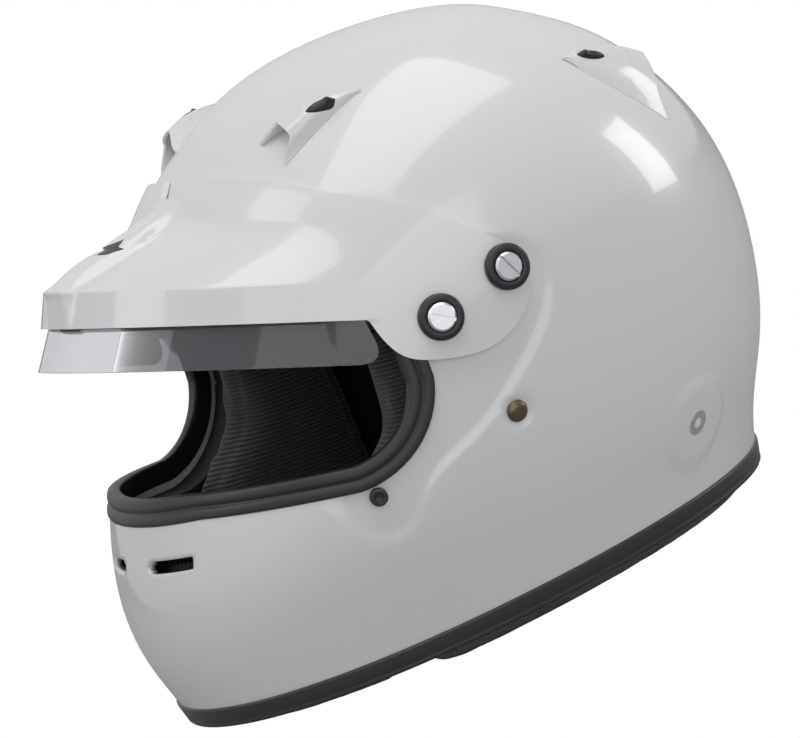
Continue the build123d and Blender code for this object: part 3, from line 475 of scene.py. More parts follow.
def insideSkin(points):
    # true where a point is inside the shell's level oval
    x, y, z = points[..., 0], points[..., 1], points[..., 2]
    run = runAtHeight(np.clip(z, fineRows[0, 0], fineRows[-1, 0]))
    front, back, half, full = rowAt(run, (1, 2, 3, 4))
    width = ovalAcross(ovalTurn(y, front, back), half, full)
    return (np.abs(ovalCosine(y, front, back)) < 1) & (np.abs(x) < width) & (z < fineRows[-1, 0])


def sidePlace(shares):
    shares = np.atleast_2d(np.asarray(shares, float))
    return np.stack([shares[:, 0] * shell["length"], shell["rim"] + shares[:, 1] * shell["height"]], 1)


def arcThrough(start, middle, end, count=24):
    # circle through three points of a plane
    (ax, ay), (bx, by), (cx, cy) = start, middle, end
    d = 2 * (ax * (by - cy) + bx * (cy - ay) + cx * (ay - by))
    ux = ((ax**2 + ay**2) * (by - cy) + (bx**2 + by**2) * (cy - ay) + (cx**2 + cy**2) * (ay - by)) / d
    uy = ((ax**2 + ay**2) * (cx - bx) + (bx**2 + by**2) * (ax - cx) + (cx**2 + cy**2) * (bx - ax)) / d
    turns = np.unwrap([math.atan2(p[1] - uy, p[0] - ux) for p in (start, middle, end)])
    t = np.linspace(turns[0], turns[2], count)
    radius = math.hypot(ax - ux, ay - uy)
    return np.stack([ux + radius * np.cos(t), uy + radius * np.sin(t)], 1)


portMarks = {
    "ahead": (-0.72, 0.349), "chin": (-0.430, 0.349), "cheek": (-0.275, 0.309), "hollow": (-0.183, 0.353),
    "rear": (-0.140, 0.450), "temple": (-0.138, 0.510), "corner": (-0.152, 0.592),
    "browStart": (-0.195, 0.628), "brow": (-0.330, 0.697), "aheadBrow": (-0.72, 0.887),
}


def portOutline():
    # side view of the eye port: straight chin, rounded rear corners, rising brow
    mark = {key: tuple(sidePlace(value)[0]) for key, value in portMarks.items()}
    return np.vstack([
        [mark["ahead"], mark["chin"]], arcThrough(mark["cheek"], mark["hollow"], mark["rear"]),
        arcThrough(mark["temple"], mark["corner"], mark["browStart"]), [mark["brow"], mark["aheadBrow"]]])


def growOutline(outline, amount):
    # a closed outline moved outwards by an amount, each point along its mean normal
    fine = resample(outline, 900, closed=True)
    along = np.roll(fine, -1, 0) - np.roll(fine, 1, 0)
    along = along / np.linalg.norm(along, axis=1, keepdims=True)
    return fine + np.stack([along[:, 1], -along[:, 0]], 1) * amount


recessMarks = [
    (-0.320, 0.330), (-0.300, 0.240), (-0.262, 0.198), (-0.232, 0.200), (-0.205, 0.238), (-0.170, 0.282),
    (-0.110, 0.315), (-0.040, 0.372), (0.012, 0.425), (0.048, 0.480), (0.062, 0.535), (0.050, 0.595),
    (0.005, 0.640), (-0.070, 0.665), (-0.160, 0.668)]


def smoothLine(points, count):
    # spline through points of a plane, by running length
    points = np.asarray(points, float)
    run = runningLength(points)
    places = np.linspace(0, run[-1], count)
    return np.stack([naturalSpline(run, points[:, k], places) for k in (0, 1)], 1)


portLine = portOutline()
recessBack = [(-0.260, 0.600), (-0.260, 0.450)]
recessLine = np.vstack([smoothLine(sidePlace(recessMarks), 160), sidePlace(recessBack)])


def shellGrid():
    # turns are close together on the flanks and at the chin, levels on the port, the recess and the slots
    turnMarks = np.radians([0, 16, 104, 140, 180])
    turnDense = np.interp(np.linspace(0, 1, 191), [0, 0.12, 0.62, 0.82, 1], turnMarks)
    turns = np.concatenate([-turnDense[:0:-1], turnDense[:-1]])
    slotLow, slotTop = (shell["slotUp"] + side * shell["slotHigh"] / 2 for side in (-1, 1))
    # height at which each band starts, and its count of levels
    bands = ((10, 10), (40, 27), (slotLow, 5), (slotTop, 54), (190, 0))
    heights = np.concatenate([
        np.linspace(low, high, count)[:-1] for (low, count), (high, _) in zip(bands, bands[1:])])
    runs = np.concatenate([runAtHeight(heights), np.linspace(runAtHeight(190), skinKnots[-1] - 1.5, 36)])
    return turns, runs


def fromChinSlot(points):
    # distance from the outline of the nearer chin slot seen from the front, below zero inside it
    halfRound = shell["slotHigh"] / 2
    past = np.abs(points[:, 0]) - shell["slotMiddle"]
    past = np.sign(past) * np.maximum(np.abs(past) - shell["slotLong"] / 2 + halfRound, 0)
    rise = points[:, 2] - shell["slotUp"]
    away = np.hypot(past, rise)
    near = (points[:, 1] < shell["slotAhead"]) & (np.abs(rise) < shell["slotZone"])
    return np.where(near, away - halfRound, outside), past, rise, away


def slotSnapped(points):
    # points close to a slot's outline are moved onto it over the skin
    gap, past, rise, away = fromChinSlot(points)
    table = np.linspace(0, 0.9, 400)
    for k in np.flatnonzero(np.abs(gap) < shell["slotSnap"]):
        share = 1 - (away[k] - gap[k]) / away[k]
        x = abs(points[k, 0]) - past[k] * share
        run = runAtHeight(points[k, 2] - rise[k] * share)
        turn = np.interp(x, skinAt(table, run + 0 * table)[:, 0], table)
        points[k] = skinAt(turn * np.sign(points[k, 0]), run)
    return points


def thinWall(piece, depth):
    # the wall grows inwards, and the recess thins it: its inner face stays where it is
    wall = piece.modifiers.new("wall", "SOLIDIFY")
    wall.thickness, wall.offset = shell["wall"] * mm, -1
    steps = 40
    thin = np.round(depth / shell["wall"] * steps).astype(int)
    group = piece.vertex_groups.new(name="wall")
    for step in np.unique(thin):
        group.add(np.flatnonzero(thin == step).tolist(), 1 - step / steps, "REPLACE")
    wall.vertex_group = group.name


def buildShell():
    turns, runs = shellGrid()
    turn, run = np.meshgrid(turns, runs)
    flat = slotSnapped(skinAt(turn, run).reshape(-1, 3))
    normals = skinNormal(turn, run).reshape(-1, 3)
    inPort = outlineDistance(flat[:, 1:], growOutline(portLine, -shell["portEdge"]))
    # the recess: a step down inside its outline, with a soft edge
    inRecess = outlineDistance(flat[:, 1:], recessLine)
    depth = shell["recess"] * smoothstep(-inRecess, 0, shell["recessEdge"])
    flat = flat - normals * depth[:, None]
    for mark, radius, amount, soft in shell["dishes"]:
        y, z = sidePlace(mark)[0]
        centre = skinAt(turnAtSide(y, z), runAtHeight(z))
        for side in (1, -1):
            away = np.linalg.norm(flat - centre * np.array([side, 1, 1]), axis=1)
            flat = flat + normals * (amount * (1 - smoothstep(away, radius - soft, radius)))[:, None]
    quads = gridFaces(len(runs), len(turns), closeColumns=True)
    flat = np.vstack([flat, [[0, shell["crown"] * shell["length"], fineRows[-1, 0]]]])
    cap = fan((len(runs) - 1) * len(turns) + np.arange(len(turns)), len(flat) - 1)
    fromSlot = fromChinSlot(flat)[0]
    inPort = np.append(inPort, outside)
    drop = (inPort[quads] < 0).any(1) | (fromSlot[quads] < shell["slotHole"]).all(1)
    quads = quads[~drop]
    piece = makeMesh("outerShell", flat, quads, "shell_white", triangles=cap)
    used = np.unique(np.concatenate([quads.ravel(), cap.ravel()]))
    thinWall(piece, np.append(depth, 0)[used])
    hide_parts("outer_shell")


buildShell()
print("shell built")


# ---------- rubber round the eye port and the bottom edge
def portLoop(offset, count):
    # the port's outline, moved in by an offset, laid on the shell all the way round
    line = growOutline(portLine, -offset)
    room = line[:, 0] + rowAt(runAtHeight(line[:, 1]), (1,))[0]
    inside = np.flatnonzero(room > 0)
    first, last = inside[0], inside[-1]
    ends = [line[near] + (line[far] - line[near]) * room[near] / (room[near] - room[far])
            for near, far in ((first, first - 1), (last, last + 1))]
    visible = resample(np.vstack([ends[0], line[first:last + 1], ends[1]]), 1600)
    # the ends get points in ever shorter steps, because the oval turns sharply there
    steps, taken = np.linspace(0, 1, 40)[:, None] ** 2, 8
    head = visible[0] + (visible[taken] - visible[0]) * steps
    tail = visible[-1] + (visible[-1 - taken] - visible[-1]) * steps[::-1]
    visible = np.vstack([head, visible[taken + 1:-1 - taken], tail])
    turn, run = turnAtSide(visible[:, 0], visible[:, 1]), runAtHeight(visible[:, 1])
    table = resample(np.column_stack([skinAt(turn, run), turn, run]), 4 * count)
    length = runningLength(table[:, :3])
    even = np.linspace(0, length[-1], count)
    half = np.stack([np.interp(even, length, table[:, k]) for k in (3, 4)], 1)
    half[0, 0] = half[-1, 0] = 0
    return np.vstack([half, half[-2:0:-1] * np.array([-1, 1])])


gasket = {
    # inwards from the outer edge and up from the shell, mm: two ribs with a groove, then the flange inside
    "profile": [
        (0.0, -0.05), (0.15, 0.55), (0.7, 1.0), (1.6, 1.2), (3.2, 1.22), (4.3, 1.05), (4.9, 0.55), (5.3, 0.2),
        (5.8, 0.15), (6.2, 0.5), (6.7, 0.95), (7.8, 1.15), (9.6, 1.1), (10.9, 0.7), (11.7, -0.2),
        (12.0, -1.6),
        (12.0, -3.6), (11.6, -4.7), (10.6, -5.15), (8.0, -5.2), (3.0, -5.2), (1.8, -5.0), (1.3, -4.5),
        (1.6, -4.05), (3.0, -4.02), (5.0, -4.02), (5.0, -0.02), (2.0, -0.02)],
    "around": 300,
}


def buildGasket():
    rows = []
    for inwards, up in gasket["profile"]:
        turn, run = portLoop(inwards, gasket["around"]).T
        rows.append(skinAt(turn, run) + skinNormal(turn, run) * up)
    rows = np.array(rows)
    quads = gridFaces(*rows.shape[:2], closeRows=True, closeColumns=True)
    piece = makeMesh("portGasket", rows.reshape(-1, 3), quads, "black_rubber", sharp=50)
    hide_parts("eyeport_gasket")


buildGasket()

baseTrim = {
    # out from the shell's skin and height above the ground, mm
    "profile": [
        (0.0, 18.1), (0.6, 18.0), (1.1, 17.5), (1.3, 16.6), (1.3, 11.6), (1.0, 10.9), (1.0, 10.3), (1.3, 9.7),
        (1.3, 8.9), (0.9, 8.2), (0.0, 8.0), (-3.0, 8.0), (-4.9, 8.1), (-5.5, 8.6), (-5.6, 9.6), (-5.6, 16.8),
        (-5.3, 17.7), (-4.6, 18.0), (-4.05, 17.9), (-4.02, 16.0), (-4.02, 10.05), (-2.0, 10.05),
        (-0.02, 10.05), (-0.02, 14.0)],
    "around": 420,
}


def buildTrim():
    profile = np.array(baseTrim["profile"])
    turns = np.linspace(-math.pi, math.pi, baseTrim["around"], endpoint=False)
    turn, out = np.meshgrid(turns, profile[:, 0])
    height = np.repeat(profile[:, 1:], len(turns), 1)
    points = skinAt(turn, runAtHeight(height), inset=-out)
    points[..., 2] = height
    quads = gridFaces(len(profile), len(turns), closeRows=True, closeColumns=True)[:, ::-1]
    piece = makeMesh("baseTrim", points.reshape(-1, 3), quads, "trim_rubber", sharp=50)
    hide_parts("base_trim")


buildTrim()
print("gasket and trim built")


# ---------- sheets: two grids of the same size joined into one closed piece
def closedSheet(name, outer, inner, slotName, edge=0.0007, sharp=60, keep=None):
    # keep marks the cells that are there; walls stand along every border of them
    rows, columns = outer.shape[:2]
    points = np.concatenate([outer.reshape(-1, 3), inner.reshape(-1, 3)])
    back = gridFaces(rows, columns)
    if keep is not None:
        back = back[keep.ravel()]
    start, stop = back.ravel(), np.roll(back, -1, 1).ravel()
    size = rows * columns
    border = ~np.isin(start * size + stop, stop * size + start)
    start, stop = start[border], stop[border]
    sides = np.stack([start, stop, stop + size, start + size], 1)
    piece = makeMesh(name, points, np.concatenate([back[:, ::-1], back + size, sides]), slotName, sharp=sharp)
    bevel(piece, edge)
    return piece


# ---------- peak, drawn in the attitude in which the helmet is worn
peak = {
    "tilt": 22.0, "centre": (0.013, 0.458), "polar": 20.0, "ear": 3.0,
    "wall": 2.2, "thinnest": 1.2, "gap": 0.3,
    "foot": 4.0, "fold": 20.5, "top": 61.0, "brimCentre": 50.0, "half": 113.0, "reach": 125.5,
    # rise from fold to top, centre, half width, reach
    "bands": np.array([
        (0.0, 1.0, 0.993, 0.985), (0.24, 0.96, 0.97, 0.87), (0.55, 0.90, 0.93, 0.71),
        (1.0, 0.82, 0.82, 0.52)]),
    # level and how far the nose stands ahead of the brim there
    "nose": np.array([
        (-20, 1.5), (4, 1.5), (17, 4.0), (24, 6.5), (31, 10.0), (43, 12.0), (61, 9.5), (80, 6.0)]),
    "noseHalf": (7.5, 15.5),
    "blend": 7.0, "columns": 480, "rows": 76, "dense": 1.3, "denseUnder": (1.1, 0.9), "sharp": 32,
    # scoop on top of the nose: level against half width of the valley and of the hollow beside it
    "scoopLow": 36.7, "scoopHigh": 62.0, "scoopDeep": 3.6, "hollowDeep": 1.8,
    "valley": np.array([(36.7, 12.4), (42, 11.8), (48.5, 8.5), (62, 1.5)]),
    "hollow": np.array([(36.7, 12.8), (44, 13.0), (48.5, 14.0), (59, 26.0), (66, 32.0)]),
    "mouth": np.array([(-11.7, 39.1), (-8.0, 36.7), (8.0, 36.7), (11.7, 39.1), (0.0, 43.6)]),
    "mouthReach": 130.0, "mouthSnap": 0.45, "meanReach": 110, "notch": (8.0, 11.0, 25.0),
    "upper": [
        (0.022, 0.598), (-0.010, 0.645), (-0.082, 0.741), (-0.163, 0.825), (-0.194, 0.861), (-0.212, 0.874)],
    "ear line": [
        (0.022, 0.598), (0.031, 0.552), (0.016, 0.515), (-0.019, 0.474), (-0.059, 0.458), (-0.125, 0.474),
        (-0.163, 0.502), (-0.178, 0.542), (-0.183, 0.582)],
}
wornCentre = np.array([0, *sidePlace(peak["centre"])[0]])
wornUp = np.array([0, math.sin(math.radians(peak["tilt"])), math.cos(math.radians(peak["tilt"]))])
wornAhead = np.array([0, -wornUp[2], wornUp[1]])
wornAcross = np.array([1.0, 0, 0])


def toWorn(points):
    # across, ahead, up in the wearer's attitude
    away = points - wornCentre
    return np.stack([away[..., 0], away @ wornAhead, away @ wornUp], -1)


def fromPolar(reach, angle, up):
    # places given by reach and angle about the worn axis and by their level
    across, ahead = reach * np.sin(angle), peak["polar"] + reach * np.cos(angle)
    return wornCentre + across[..., None] * wornAcross + ahead[..., None] * wornAhead + up[..., None] * wornUp


def skinReach(angle, up, offset):
    # distance from the worn axis to the shell's skin moved out by an offset
    reach = halved(angle.shape, (0.0, 230.0), 26, lambda mid: insideSkin(fromPolar(mid, angle, up)))
    normal = normalNear(fromPolar(reach, angle, up))
    ray = np.sin(angle)[..., None] * wornAcross + np.cos(angle)[..., None] * wornAhead
    return reach + offset / np.maximum((normal * ray).sum(-1), 0.25)


def brimReach(angle, up, inset):
    # distance from the worn axis to the brim's oval at a level; below the foot the brim has no reach
    rise = np.clip((up - peak["fold"]) / (peak["top"] - peak["fold"]), 0, 1)
    centre, half, reach = (naturalSpline(peak["bands"][:, 0], peak["bands"][:, k], rise) for k in (1, 2, 3))
    below = np.clip((peak["fold"] - up) / (peak["fold"] - peak["foot"]), 0, 1)
    half, reach = half + (1 - half) * below, reach + (1 - reach) * below
    c = centre * peak["brimCentre"] - peak["polar"]
    a, b = half * peak["half"] - inset, reach * peak["reach"] - inset
    s2, c2 = np.sin(angle) ** 2 / a**2, np.cos(angle) ** 2 / b**2
    lead = np.cos(angle) * c / b**2
    root = np.sqrt(np.maximum(lead**2 - (s2 + c2) * (c**2 / b**2 - 1), 0))
    return (lead + root) / (s2 + c2)


def scoopDent(across, up):
    # a valley that deepens towards the mouth at its foot, and a faint hollow beside it
    low, high = peak["scoopLow"], peak["scoopHigh"]
    half, crest = (np.interp(up, *peak[key].T) for key in ("valley", "hollow"))
    fall = 1 - np.clip((up - low) / (high - low), 0, 1)
    valley = peak["scoopDeep"] * fall**0.8 * np.clip(1 - across / half, 0, 1)
    beside = np.sin(math.pi * np.clip((across - half) / (crest - half), 0, 1))
    beside = beside * smoothstep(up, low, low + 9) * (1 - smoothstep(up, high - 6, high + 3))
    return (valley + peak["hollowDeep"] * beside) * (up > low + 0.01)


def peakReach(angle, up, inset, ear):
    # the skin moved out by the ear's rise and the brim, joined by a soft maximum, plus the nose
    skin = skinReach(angle, up, ear)
    brim = brimReach(angle, up, inset)
    across = np.abs(brim * np.sin(angle))
    nose = np.interp(up, *peak["nose"].T) * (1 - smoothstep(across, *peak["noseHalf"]))
    brim = brim + (nose - scoopDent(across, up)) * (np.abs(angle) < 0.5)
    brim = np.where(up < peak["foot"] - 0.5, -1e3, brim)
    h = np.clip(0.5 + 0.5 * (brim - skin) / peak["blend"], 0, 1)
    return skin + (brim - skin) * h + peak["blend"] * h * (1 - h)


def wornOfSide(line, offset):
    # angle and level of the places where a side view line meets the skin moved out by an offset
    back, height = line[:, 0], line[:, 1]
    turn, run = turnAtSide(back, height), runAtHeight(height)
    worn = toWorn(skinAt(turn, run) + skinNormal(turn, run) * offset)
    return np.arctan2(worn[:, 0], worn[:, 1] - peak["polar"]), worn[:, 2]


def spread(angle, level, count):
    # points along an edge of the peak, closer together ahead
    scale = np.array([peak["meanReach"], 1])
    fine = resample(np.stack([angle, level], 1) * scale, 4 * count)
    places = np.linspace(0, 1, count) ** peak["dense"] * (len(fine) - 1)
    return np.stack([np.interp(places, np.arange(len(fine)), fine[:, k]) for k in (0, 1)], 1) / scale


def peakEdges(count):
    # upper edge from the middle back to the ear, lower edge along the brim's foot and round the ear
    upper = smoothLine(sidePlace(peak["upper"][::-1]), 200)
    upAngle, upLevel = wornOfSide(upper, peak["ear"])
    # ahead of its first mark the upper edge runs level across the middle
    lead = np.linspace(0, upAngle[0], 40)[:-1]
    upAngle = np.concatenate([lead, upAngle])
    upLevel = np.concatenate([np.full(len(lead), upLevel[0]), upLevel])
    deep, start, stop = peak["notch"]
    upLevel = upLevel - deep * (1 - smoothstep(upAngle * peak["mouthReach"], start, stop))
    ear = smoothLine(sidePlace(peak["ear line"])[::-1], 240)
    earAngle, earLevel = wornOfSide(ear, peak["ear"])
    start = int(np.argmax(earLevel < peak["foot"]))
    earAngle, earLevel = earAngle[start:], earLevel[start:]
    footAngle = np.linspace(0, earAngle[0], 260)[:-1]
    lowAngle = np.concatenate([footAngle, earAngle])
    lowLevel = np.concatenate([np.full(len(footAngle), peak["foot"]), earLevel])
    return spread(lowAngle, lowLevel, count), spread(upAngle, upLevel, count)


def buildPeak():
    half = peak["columns"] // 2
    low, high = peakEdges(half)
    # one row of cells ends at the scoop's foot
    foot = (peak["scoopLow"] - low[0, 1]) / (high[0, 1] - low[0, 1])
    count, power = peak["denseUnder"]
    under = int(peak["rows"] * foot**count)
    beyond = np.linspace(0, 1, peak["rows"] - under + 1)[1:]
    share = np.concatenate([np.linspace(0, 1, under) ** power * foot, foot + beyond * (1 - foot)])
    # the mouth: points beside its outline are moved onto it, and the cells inside it left out
    scale = np.array([peak["mouthReach"], 1])
    flat = ((low + (high - low) * share[:, None, None]) * scale).reshape(-1, 2)
    close = np.abs(outlineDistance(flat, peak["mouth"])) < peak["mouthSnap"]
    flat[close] = nearestOn(flat[close], peak["mouth"])
    flat = flat.reshape(len(share), half, 2)
    flat[:, 0, 0] = 0
    angle, level = flat[..., 0] / scale[0], flat[..., 1]
    centre = (flat[1:, 1:] + flat[:-1, 1:] + flat[1:, :-1] + flat[:-1, :-1]) / 4
    keep = outlineDistance(centre.reshape(-1, 2), peak["mouth"]).reshape(centre.shape[:2]) > 0
    keep = np.concatenate([keep[:, ::-1], keep], 1)
    outer = peakReach(angle, level, 0.0, peak["ear"])
    inner = np.minimum(peakReach(angle, level, peak["wall"], peak["gap"]), outer - peak["thinnest"])
    outer, inner = (
        np.concatenate([fromPolar(reach, -angle, level)[:, :0:-1], fromPolar(reach, angle, level)], 1)
        for reach in (outer, inner))
    piece = closedSheet("visorPeak", outer, inner, "peak_white", sharp=peak["sharp"], keep=keep)
    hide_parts("peak")


buildPeak()
print("peak built")


# ---------- roof ducts and their shutters
def roofPlace(across, back):
    # the skin's highest point over a place seen from above
    up = halved((), (140.0, 272.0), 24, lambda mid: insideSkin(np.stack([across, back, mid], -1)))
    return np.stack([across, back, up], -1)


def ductSeat(spec):
    # a plane on the roof with X towards the duct's narrow end, and the duct's corners on it
    scale = np.array([shell["width"] / 2, shell["length"]])
    middle, *corners = (roofPlace(*(np.array(share) * scale)) for share in [spec["seat"], *spec["corners"]])
    corners, normal = np.array(corners), normalNear(middle)
    along = corners[2:].mean(0) - corners[:2].mean(0)
    across = np.cross(normal, along)
    x = np.cross(across, normal)
    x, y = x / np.linalg.norm(x), across / np.linalg.norm(across)
    return middle, x, y, normal, np.stack([(corners - middle) @ x, (corners - middle) @ y], 1)


def dropToSkin(seat, x, y):
    # places over the seat's plane brought down to the skin along the seat's normal
    middle, ex, ey, ez, _ = seat
    base = middle + x[..., None] * ex + y[..., None] * ey
    rise = halved(x.shape, (-30.0, 20.0), 22, lambda mid: insideSkin(base + mid[..., None] * ez))
    return base + rise[..., None] * ez


ducts = {
    "front": {
        "seat": (0.484, -0.079), "corners": [(0.351, -0.148), (0.523, -0.154), (0.562, -0.019)],
        "height": 9.0, "shoulders": (0.52, 0.62), "arch": 10.5, "tailRound": 0.05, "wall": 1.5,
        "rise": [(0.0, 1.0), (0.3, 0.92), (0.6, 0.66), (0.85, 0.30), (1.0, 0.02)],
        "tail": (22.7, -4.2), "pad": (2.8, -5.6), "padSize": (15.0, 4.8)},
    "rear": {
        "seat": (0.655, 0.295),
        "corners": [(0.500, 0.372), (0.740, 0.344), (0.735, 0.252), (0.700, 0.236), (0.655, 0.246)],
        "height": 8.4, "shoulders": (0.30, 1.05), "arch": 4.0, "tailRound": 0.34, "wall": 1.4,
        "rise": [(0.0, 1.0), (0.3, 0.88), (0.6, 0.66), (0.85, 0.42), (1.0, 0.05)],
        "tail": (21.5, 4.0), "pad": (7.0, 3.2), "padSize": (14.5, 4.6)},
}
hood = {
    # the mouth's arch, narrowing and pull of a round tail, hardness of the shoulders, mm below the skin
    "archWide": 0.55, "tailNarrow": 1.4, "tailPull": 16, "shoulder": 7.0, "sink": 0.9,
    "across": 71, "along": 81, "evened": 12, "edge": 0.0005, "border": 0.999, "fineGrid": (101, 121),
    # the faint oval bed under the shutter: ahead of its pad, wider and longer than it, mm deep
    "bedAhead": 1.5, "bedRoom": (2.2, 0.9), "bedDeep": 0.35,
}


def ductSurface(spec, seat, share, side):
    # share runs from the open mouth to the narrow end, side from -1 to 1 across;
    # the hood's height is the rise along it times a slope up from each foot to a shoulder
    tail, steep = spec["tail"], hood["shoulder"]
    inCorner, outCorner = seat[4][:2]
    mouthX, mouthY = ((a + b) / 2 + side * (b - a) / 2 for a, b in zip(inCorner, outCorner))
    mouthX = mouthX + spec["arch"] * smoothstep(1 - np.abs(side), 0, hood["archWide"])
    narrow = (1 - share) ** (1 - spec["tailRound"] * hood["tailNarrow"])
    x = mouthX + (tail[0] - mouthX) * share
    y = tail[1] + (mouthY - tail[1]) * narrow
    x = x - spec["tailRound"] * hood["tailPull"] * np.abs(side) ** 2 * share**3
    slopeIn, slopeOut = spec["shoulders"]
    slope = np.minimum((1 + side) / slopeIn, (1 - side) / slopeOut)
    soft = 1 - np.log1p(np.exp(-(slope - 1) * steep)) / np.log1p(np.exp(steep))
    lift = np.interp(share, *np.array(spec["rise"]).T) * spec["height"]
    borders = 1.0 * (np.abs(side) > hood["border"]) + (share > hood["border"])
    return x, y, lift * np.clip(soft, 0, 1) - hood["sink"] * borders


def buildDuct(kind, spec, seat, hand):
    side, share = np.meshgrid(np.linspace(-1, 1, hood["across"]), np.linspace(0, 1, hood["along"]))
    x, y, height = ductSurface(spec, seat, share, side)
    base = dropToSkin(seat, x, y)
    for _ in range(hood["evened"]):
        around = base[2:, 1:-1] + base[:-2, 1:-1] + base[1:-1, 2:] + base[1:-1, :-2]
        base[1:-1, 1:-1] += around / 8 - base[1:-1, 1:-1] / 2
    px, py = spec["pad"]
    long, wide = (size / 2 + room for size, room in zip(spec["padSize"], hood["bedRoom"]))
    bed = np.hypot((x - px - hood["bedAhead"]) / long, (y - py) / wide)
    height = height - hood["bedDeep"] * (1 - smoothstep(bed, 0.75, 1.0))
    points, quads = (base + height[..., None] * seat[3]).reshape(-1, 3), gridFaces(*side.shape)
    # the wall grows inwards, so the faces must look away from the shell
    corner = points[quads[len(quads) // 2]]
    if np.cross(corner[1] - corner[0], corner[3] - corner[0]) @ seat[3] < 0:
        quads = quads[:, ::-1]
    piece = makeMesh(f"{kind}Duct_{hand}", points, quads, "duct_white", sharp=70, hand=hand)
    wall = piece.modifiers.new("wall", "SOLIDIFY")
    wall.thickness, wall.offset = spec["wall"] * mm, -1
    bevel(piece, hood["edge"])
    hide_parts(f"{kind}_duct_{hand}")


def roofLift(spec, seat, x, y):
    # height of the duct over the skin at given places, from the near points of its grid
    across, along = hood["fineGrid"]
    side, share = np.meshgrid(np.linspace(-1, 1, across), np.linspace(0, 1, along))
    gx, gy, lift = (a.ravel() for a in ductSurface(spec, seat, share, side))
    far = (gx[None] - x.reshape(-1, 1)) ** 2 + (gy[None] - y.reshape(-1, 1)) ** 2
    weight = np.exp(-far / 0.5) + 1e-9
    return ((weight * lift).sum(1) / weight.sum(1)).reshape(x.shape)


shutter = {
    "around": 48, "rings": 12, "ends": 0.9, "pinch": 0.25, "dome": 1.3, "lip": 0.3, "sink": 0.1, "thick": 0.5,
    "knobHigh": 1.7, "knobWide": 1.7, "knobPlace": 0.62,
}


def buildShutter(kind, spec, seat, hand):
    # a leaf-shaped pad, domed, with a raised knob near one end
    columns, rows = shutter["around"], shutter["rings"]
    turn, share = np.meshgrid(np.linspace(0, 2 * math.pi, columns, endpoint=False), np.linspace(0, 1, rows))
    (px, py), (long, wide) = spec["pad"], (size / 2 for size in spec["padSize"])
    cosine = np.cos(turn)
    x = px + long * np.sign(cosine) * np.abs(cosine) ** shutter["ends"] * share
    y = py + wide * np.sin(turn) * (1 - shutter["pinch"] * np.abs(cosine) ** 2) * share
    knob = (x - px - long * shutter["knobPlace"]) / shutter["knobWide"]
    knob = shutter["knobHigh"] * np.exp(-knob**2)
    dome = shutter["dome"] * (1 - share**4) + knob * (1 - share**3) - shutter["lip"] * share**6
    lift = roofLift(spec, seat, x, y) - shutter["sink"]
    base = dropToSkin(seat, x, y) + lift[..., None] * seat[3]
    top, bottom = base + dome[..., None] * seat[3], base - shutter["thick"] * seat[3]
    points = np.concatenate([top.reshape(-1, 3), bottom.reshape(-1, 3)])
    quads = gridFaces(rows, columns, closeColumns=True)
    ring = np.arange(columns) + (rows - 1) * columns
    onward, below = np.roll(ring, -1), rows * columns
    sides = np.stack([ring, onward, onward + below, ring + below], 1)
    quads = np.concatenate([quads, quads[:, ::-1] + below, sides])
    body = f"{kind}_shutter_{hand}_body"
    piece = makeMesh(f"{kind}Shutter_{hand}", points, quads, "shutter_black", body=body, sharp=50, hand=hand)
    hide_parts(f"{kind}_shutter_{hand}")


for kind, spec in ducts.items():
    seat = ductSeat(spec)
    for hand in ("left", "right"):
        buildDuct(kind, spec, seat, hand)
        buildShutter(kind, spec, seat, hand)
print("ducts and shutters built")


# ---------- pieces on the flanks
def flankSeat(shares):
    # place and axes on the left flank: X points back, Z out of the shell
    y, z = sidePlace(shares)[0]
    turn, run = turnAtSide(y, z), runAtHeight(z)
    middle, normal = skinAt(turn, run), skinNormal(turn, run)
    x = np.array([0, 1.0, 0]) - normal * normal[1]
    x /= np.linalg.norm(x)
    return middle, x, np.cross(normal, x), normal


def spun(name, seat, profile, slotName, hand, count=64):
    # a profile of radius and height turned about the seat's normal; radius zero is a pole
    middle, x, y, z = seat
    turn = np.linspace(0, 2 * math.pi, count, endpoint=False)[:, None]
    poles = [k for k in (0, len(profile) - 1) if profile[k][0] == 0]
    rings = [row for k, row in enumerate(profile) if k not in poles]
    points = np.concatenate([middle + r * (np.cos(turn) * x + np.sin(turn) * y) + h * z for r, h in rings])
    quads = gridFaces(len(rings), count, closeRows=not poles, closeColumns=True)
    fans = [np.zeros((0, 3), int)]
    for k in poles:
        points = np.vstack([points, middle + profile[k][1] * z])
        ends = fan(np.arange(count) + (len(rings) - 1) * count * (k > 0), len(points) - 1)
        fans.append(ends if k else ends[:, ::-1])
    return makeMesh(name, points, quads, slotName, triangles=np.concatenate(fans), hand=hand)


# ---------- glare strip under the peak
strip = {
    "wall": 1.4, "levels": (12.0, 4.0, -15.8), "inset": 3.5, "flare": 5.8, "sideFlare": 2.8,
    "endBack": -63.5, "cornerLevel": -6.0, "cornerBack": -74.0, "clear": 1.8, "columns": 240, "rows": 26,
}


